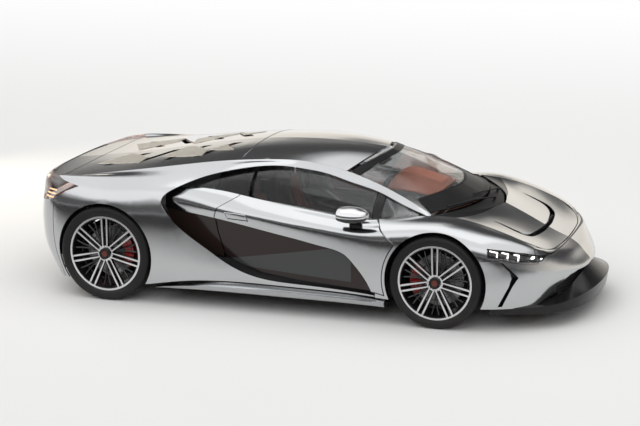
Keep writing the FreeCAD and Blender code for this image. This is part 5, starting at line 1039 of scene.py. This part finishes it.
lines = np.stack([pad_line(y, hood) for y, hood in HOOD_HEIGHTS])
top = np.stack([smooth_line(lines[:, k], 40) for k in range(20)])
under = top.copy()
under[..., 2] -= PAD_THICKNESS + HOOD_THICKENS * np.clip(top[..., 2] - HOOD_FROM, 0, 1)
closed_sheet("dash_pad", under, top, salmon_leather, "chassis")

half_height = 0.030 * (1 - np.abs(np.linspace(-1, 1, 24)) ** 5) + 0.002
shapes = [tube(smooth_line(MIRROR_LINE, 24), half_height, 16, 0.5),
          tube(smooth_line(STALK_LINE, 10), STALK_RADIUS)]
outward(mesh_piece("rear_view_mirror", *gathered(shapes), gloss_black, "chassis"))
print("dash pad", top.shape[:2], "points")

# %% Door cards
CARD_LOW = [(-0.26, 0.0, 0.560), (0.0, 0.0, 0.550), (0.30, 0.0, 0.540), (0.48, 0.0, 0.540)]
CARD_HIGH = [(-0.26, 0.0, 0.690), (0.0, 0.0, 0.685), (0.30, 0.0, 0.665), (0.48, 0.0, 0.655)]
CARD_SHEET = (0.001, 0.006)


def door_card(word, sign):
    """Trim on the inside of a door, under its window."""
    door = word + "_door"
    grid = band(CARD_LOW, CARD_HIGH, 40, 12)
    return laid(door + "_card", grid, door, "y", sign, CARD_SHEET, tan_leather, door)


print("door cards", len(both_sides(door_card)))

# %% [markdown]
# ## Glass edges and posts
# Bonded glass has a black printed border that hides the glue. It could be painted on the pane; a thin band
# that is dropped on the pane from above follows it exactly and has a clean edge. The same way lays louvres,
# handles and shadow strips on the panels.

# %% Screen borders
ABOVE_CAR = 1.6
SCREEN_FOOT = [(1.281, 0.0), (1.249, 0.238), (1.163, 0.457), (1.033, 0.630)]
SCREEN_FOOT_INNER = [(1.085, 0.0), (1.055, 0.20), (0.990, 0.38), (0.900, 0.555)]
SCREEN_HEAD = [(0.530, 0.0), (0.495, 0.23), (0.445, 0.38), (0.375, 0.520)]
SCREEN_HEAD_INNER = [(0.590, 0.0), (0.555, 0.23), (0.510, 0.39), (0.445, 0.535)]
BORDER_SHEET = (0.0006, 0.0008)


def across_car(line):
    """A plan line of (x, y) from the middle outwards and its mirror image as one line, held above the car."""
    right = [(x, -y, ABOVE_CAR) for x, y in line]
    return right[::-1] + [(x, y, ABOVE_CAR) for x, y in line[1:]]


borders = {"screen_border_low": (SCREEN_FOOT, SCREEN_FOOT_INNER),
           "screen_border_high": (SCREEN_HEAD, SCREEN_HEAD_INNER)}
for name, (outer, inner) in borders.items():
    grid = band(across_car(outer), across_car(inner), 81, 9)
    laid(name, grid, "windscreen", "z", -1, BORDER_SHEET, cowl_black, "chassis")
print("borders", list(borders))

# %% Window posts
POST_FRONT = [(0.612, 0.790, 0.752), (0.612, 0.716, 0.845), (0.616, 0.606, 0.930)]
POST_BACK = [(0.684, 0.776, 0.762), (0.684, 0.698, 0.838), (0.684, 0.628, 0.893)]
POST_LIFT, POST_THICKNESS = np.array([0, 0.006, 0.003]), np.array([0, 0.010, 0.005])


def window_post(word, sign):
    """Black post between the front triangle and the door window, worked out on the left and mirrored."""
    sides = np.array([1, sign, 1])
    outer = band(POST_FRONT, POST_BACK, 20, 5) * sides + POST_LIFT * sides
    return closed_sheet(word + "_window_post", outer - POST_THICKNESS * sides, outer, gloss_black, "chassis")


print("posts", len(both_sides(window_post)))

# %% [markdown]
# ## Lamps
# Behind the clear lens a headlamp has a dark bowl, three lit brackets and two bright domes. The bowl and the
# brackets are strips dropped on the lens from the side and set a little inside it, so all of them follow the
# lens's curve without a shape of their own. The tail lamp's bars are made the same way.

# %% Headlamps
BESIDE_CAR = 1.2
LENS_TOP = [(1.535, 0.628), (1.649, 0.606), (1.780, 0.573), (1.900, 0.529)]
LENS_FOOT = [(1.545, 0.570), (1.640, 0.555), (1.760, 0.521), (1.880, 0.498)]
BOWL_RUN, BOWL_INSET, BOWL_SHEET = (1.560, 1.900), 0.006, (-0.030, 0.003)
LIT_EDGES, LIT_SHEET = (1.606, 1.676, 1.746), (-0.012, 0.003)
BRACKET_LENGTH, BRACKET_STEP, BRACKET_SLOPE = 0.052, 0.010, 0.30
BRACKET_TOP_GAP, BRACKET_FOOT_GAP, BAR_HEIGHT, UPRIGHT = 0.009, 0.008, 0.0075, (0.0035, 0.004)
DOMES, DOME_SHEET = ((1.832, 0.538, 0.009), (1.882, 0.518, 0.0035)), (-0.010, 0.004)
DOME_SHARE = np.linspace(-0.98, 0.98, 12)


def lens_height(line, x):
    """Height of a lens edge at a station, on straight lines between its points."""
    stations, heights = np.transpose(line)
    return np.interp(x, stations, heights)


def lamp_strip(sign, xs, tops, feet, count=24, across=4):
    """A grid between two heights over a run of stations, held beside the car for dropping."""
    top, foot = [[(x, sign * BESIDE_CAR, z) for x, z in zip(xs, heights)] for heights in (tops, feet)]
    return band(top, foot, count, across)


def headlamp(word, sign):
    """Bowl, brackets and domes of one headlamp, each first a name, a strip, a sheet and a finish.

    A bracket is a level bar and an upright at its front end; a dome's half height is its size times the root
    of 1 - share^2, so its outline is a circle.
    """
    run = np.linspace(*BOWL_RUN, 9)
    top, foot = lens_height(LENS_TOP, run) - BOWL_INSET, lens_height(LENS_FOOT, run) + BOWL_INSET
    parts = [("bowl", lamp_strip(sign, run, top, foot, 40, 8), BOWL_SHEET, lamp_dark)]
    for k, x in enumerate(LIT_EDGES):
        head, foot = lens_height(LENS_TOP, x) - BRACKET_TOP_GAP, lens_height(LENS_FOOT, x) + BRACKET_FOOT_GAP
        bars = [(x - BRACKET_LENGTH + BRACKET_STEP * k, BAR_HEIGHT), (x - UPRIGHT[0], head - foot)]
        for part, (start, tall) in enumerate(bars):
            run = np.linspace(start, x + UPRIGHT[1], 4)
            top = head - BRACKET_SLOPE * (run - x)
            strip = lamp_strip(sign, run, top, top - tall, 10, 5)
            parts.append(("bracket_%d_%d" % (k + 1, part + 1), strip, LIT_SHEET, lamp_white))
    for k, (x, z, size) in enumerate(DOMES):
        half = size * np.sqrt(1 - DOME_SHARE ** 2)
        strip = lamp_strip(sign, x + size * DOME_SHARE, z + half, z - half, 16, 8)
        parts.append(("dome_%d" % (k + 1), strip, DOME_SHEET, lamp_beam))
    return [laid(word + "_lamp_" + name, strip, "headlamps", "y", -sign, sheet, material, "chassis")
            for name, strip, sheet, material in parts]


print("headlamp parts", [len(parts) for parts in both_sides(headlamp)])

# %% Tail lamps
TAIL_BAR_HEIGHTS, TAIL_BAR_WIDTH, TAIL_BAR_SHEET = (0.842, 0.812, 0.782), 0.009, (-0.010, 0.003)


def tail_lamp(word, sign):
    """Three bars inside the tail lamp's smoky lens, each further back than the one above it, with a painted
    warm glow that stands for the warm rear light reflected in the lens.
    """
    made = []
    for k, z in enumerate(TAIL_BAR_HEIGHTS):
        xs = (-2.010 - 0.02 * k, -1.965 - 0.02 * k, -1.930 - 0.01 * k)
        strip = lamp_strip(sign, xs, [z] * 3, [z - TAIL_BAR_WIDTH] * 3, 16, 4)
        name = "%s_tail_bar_%d" % (word, k + 1)
        made.append(laid(name, strip, "tail_lamps", "y", -sign, TAIL_BAR_SHEET, painted_tail_glow, "chassis"))
    return made


print("tail bars", [len(bars) for bars in both_sides(tail_lamp)])

# %% [markdown]
# ## Panels in panels
# The engine cover carries cream louvres with holes painted black as shade, the doors have a flush handle
# plate with a black strip of painted shade in its recess, and a black band on the bumper is painted shadow
# under the lid's front edge. They could be cut into the panels' solids; a thin sheet laid on a panel shows
# the same edge, and it moves with it.

# %% Louvres
# A louvre's outer edge, then its inner edge, as (x, y)
LOUVRES = {"long": ([(-1.815, 0.385), (-1.610, 0.445), (-1.410, 0.478)],
                    [(-1.650, 0.060), (-1.560, 0.150), (-1.400, 0.300)]),
           "middle": ([(-1.250, 0.355), (-1.050, 0.432), (-0.880, 0.456)],
                      [(-1.175, 0.068), (-1.090, 0.085), (-0.890, 0.300)]),
           "short": ([(-0.865, 0.330), (-0.760, 0.345), (-0.650, 0.360)],
                     [(-0.775, 0.172), (-0.730, 0.240), (-0.650, 0.345)])}
LOUVRE_SHEET = (0.0008, 0.002)


def louvres(word, sign):
    """Three sheets on one side of the engine cover, with holes painted black as the shade seen through them.
    """
    made = []
    for name, edges in LOUVRES.items():
        outer, inner = [[(x, sign * y, ABOVE_CAR) for x, y in edge] for edge in edges]
        made.append(laid(word + "_louvre_" + name, band(outer, inner, 30, 14), "engine_cover", "z", -1,
                         LOUVRE_SHEET, louvre_sheet, "engine_cover"))
    return made


print("louvres", [len(sheets) for sheets in both_sides(louvres)])

# %% Handles and the painted shadow under the lid
HANDLE_TOP = [(-0.515, 0.762), (-0.430, 0.762), (-0.339, 0.756)]
HANDLE_FOOT = [(-0.490, 0.716), (-0.400, 0.714), (-0.318, 0.711)]
RECESS_SHADE_SHIFT = np.array([0.004, 0, -0.0045])
LIP = [(1.940, 0.0), (1.938, 0.250), (1.925, 0.460), (1.898, 0.560), (1.868, 0.590)]
SHADE = [(1.950, 0.0), (1.948, 0.250), (1.940, 0.470), (1.912, 0.580), (1.876, 0.602)]
PLATE_SHEET, RECESS_SHADE_SHEET, SHADOW_BAND_SHEET = (0.0012, 0.0016), (0.0008, 0.0012), (0.0004, 0.0006)


def handle(word, sign):
    """Flush door handle: a plate, and a black strip along its foot that is painted shade in the handle's
    recess, both laid on the door's skin.
    """
    door = word + "_door"
    top, foot = [np.array([(x, sign * BESIDE_CAR, z) for x, z in line]) for line in (HANDLE_TOP, HANDLE_FOOT)]
    # The black strip under the plate is painted shade: the dark of the handle's recess.
    plate, recess_shade = band(top, foot, 24, 8), band(foot, foot + RECESS_SHADE_SHIFT, 24, 3)
    return [laid(word + "_handle_plate", plate, door, "y", -sign, PLATE_SHEET, paint, door),
            laid(word + "_handle_recess_shade", recess_shade, door, "y", -sign, RECESS_SHADE_SHEET, gloss_black, door)]


print("handle parts", [len(parts) for parts in both_sides(handle)])
# A black band on the bumper just before the lid's front edge: painted shadow, where the lid's edge shades the
# bumper.
painted_shadow_band = band(across_car(LIP), across_car(SHADE), 80, 4)
laid("lid_painted_shadow", painted_shadow_band, "front_bumper", "z", -1, SHADOW_BAND_SHEET, gloss_black, "chassis")
print("painted_shadow_band", painted_shadow_band.shape[:2], "points")

# %% [markdown]
# ## Mouth grille
# Under the nose a slatted black grille closes the duct behind the splitter. Separate bars would do as well;
# one sheet whose depth waves with its height gives the same slats with no joints.

# %% Mouth grille
MOUTH_LINE = [(1.960, -0.47), (2.026, -0.30), (2.043, -0.15), (2.050, 0.0), (2.043, 0.15), (2.026, 0.30),
              (1.960, 0.47)]
MOUTH_FOOT, MOUTH_TOP, SLAT_PITCH, SLAT_DEPTH, GRILLE_THICKNESS = 0.190, 0.342, 0.021, 0.004, 0.003

mouth = smooth_line(MOUTH_LINE, 60)
slat_height = np.linspace(MOUTH_FOOT, MOUTH_TOP, 60)
wave = SLAT_DEPTH * (1 + np.cos(2 * np.pi * slat_height / SLAT_PITCH))
front = np.stack(np.broadcast_arrays(mouth[:, :1] - wave, mouth[:, 1:], slat_height[None, :]), -1)
closed_sheet("mouth_grille", front - np.array([GRILLE_THICKNESS, 0, 0]), front, matte_black, "chassis")
print("mouth grille", front.shape[:2], "points")
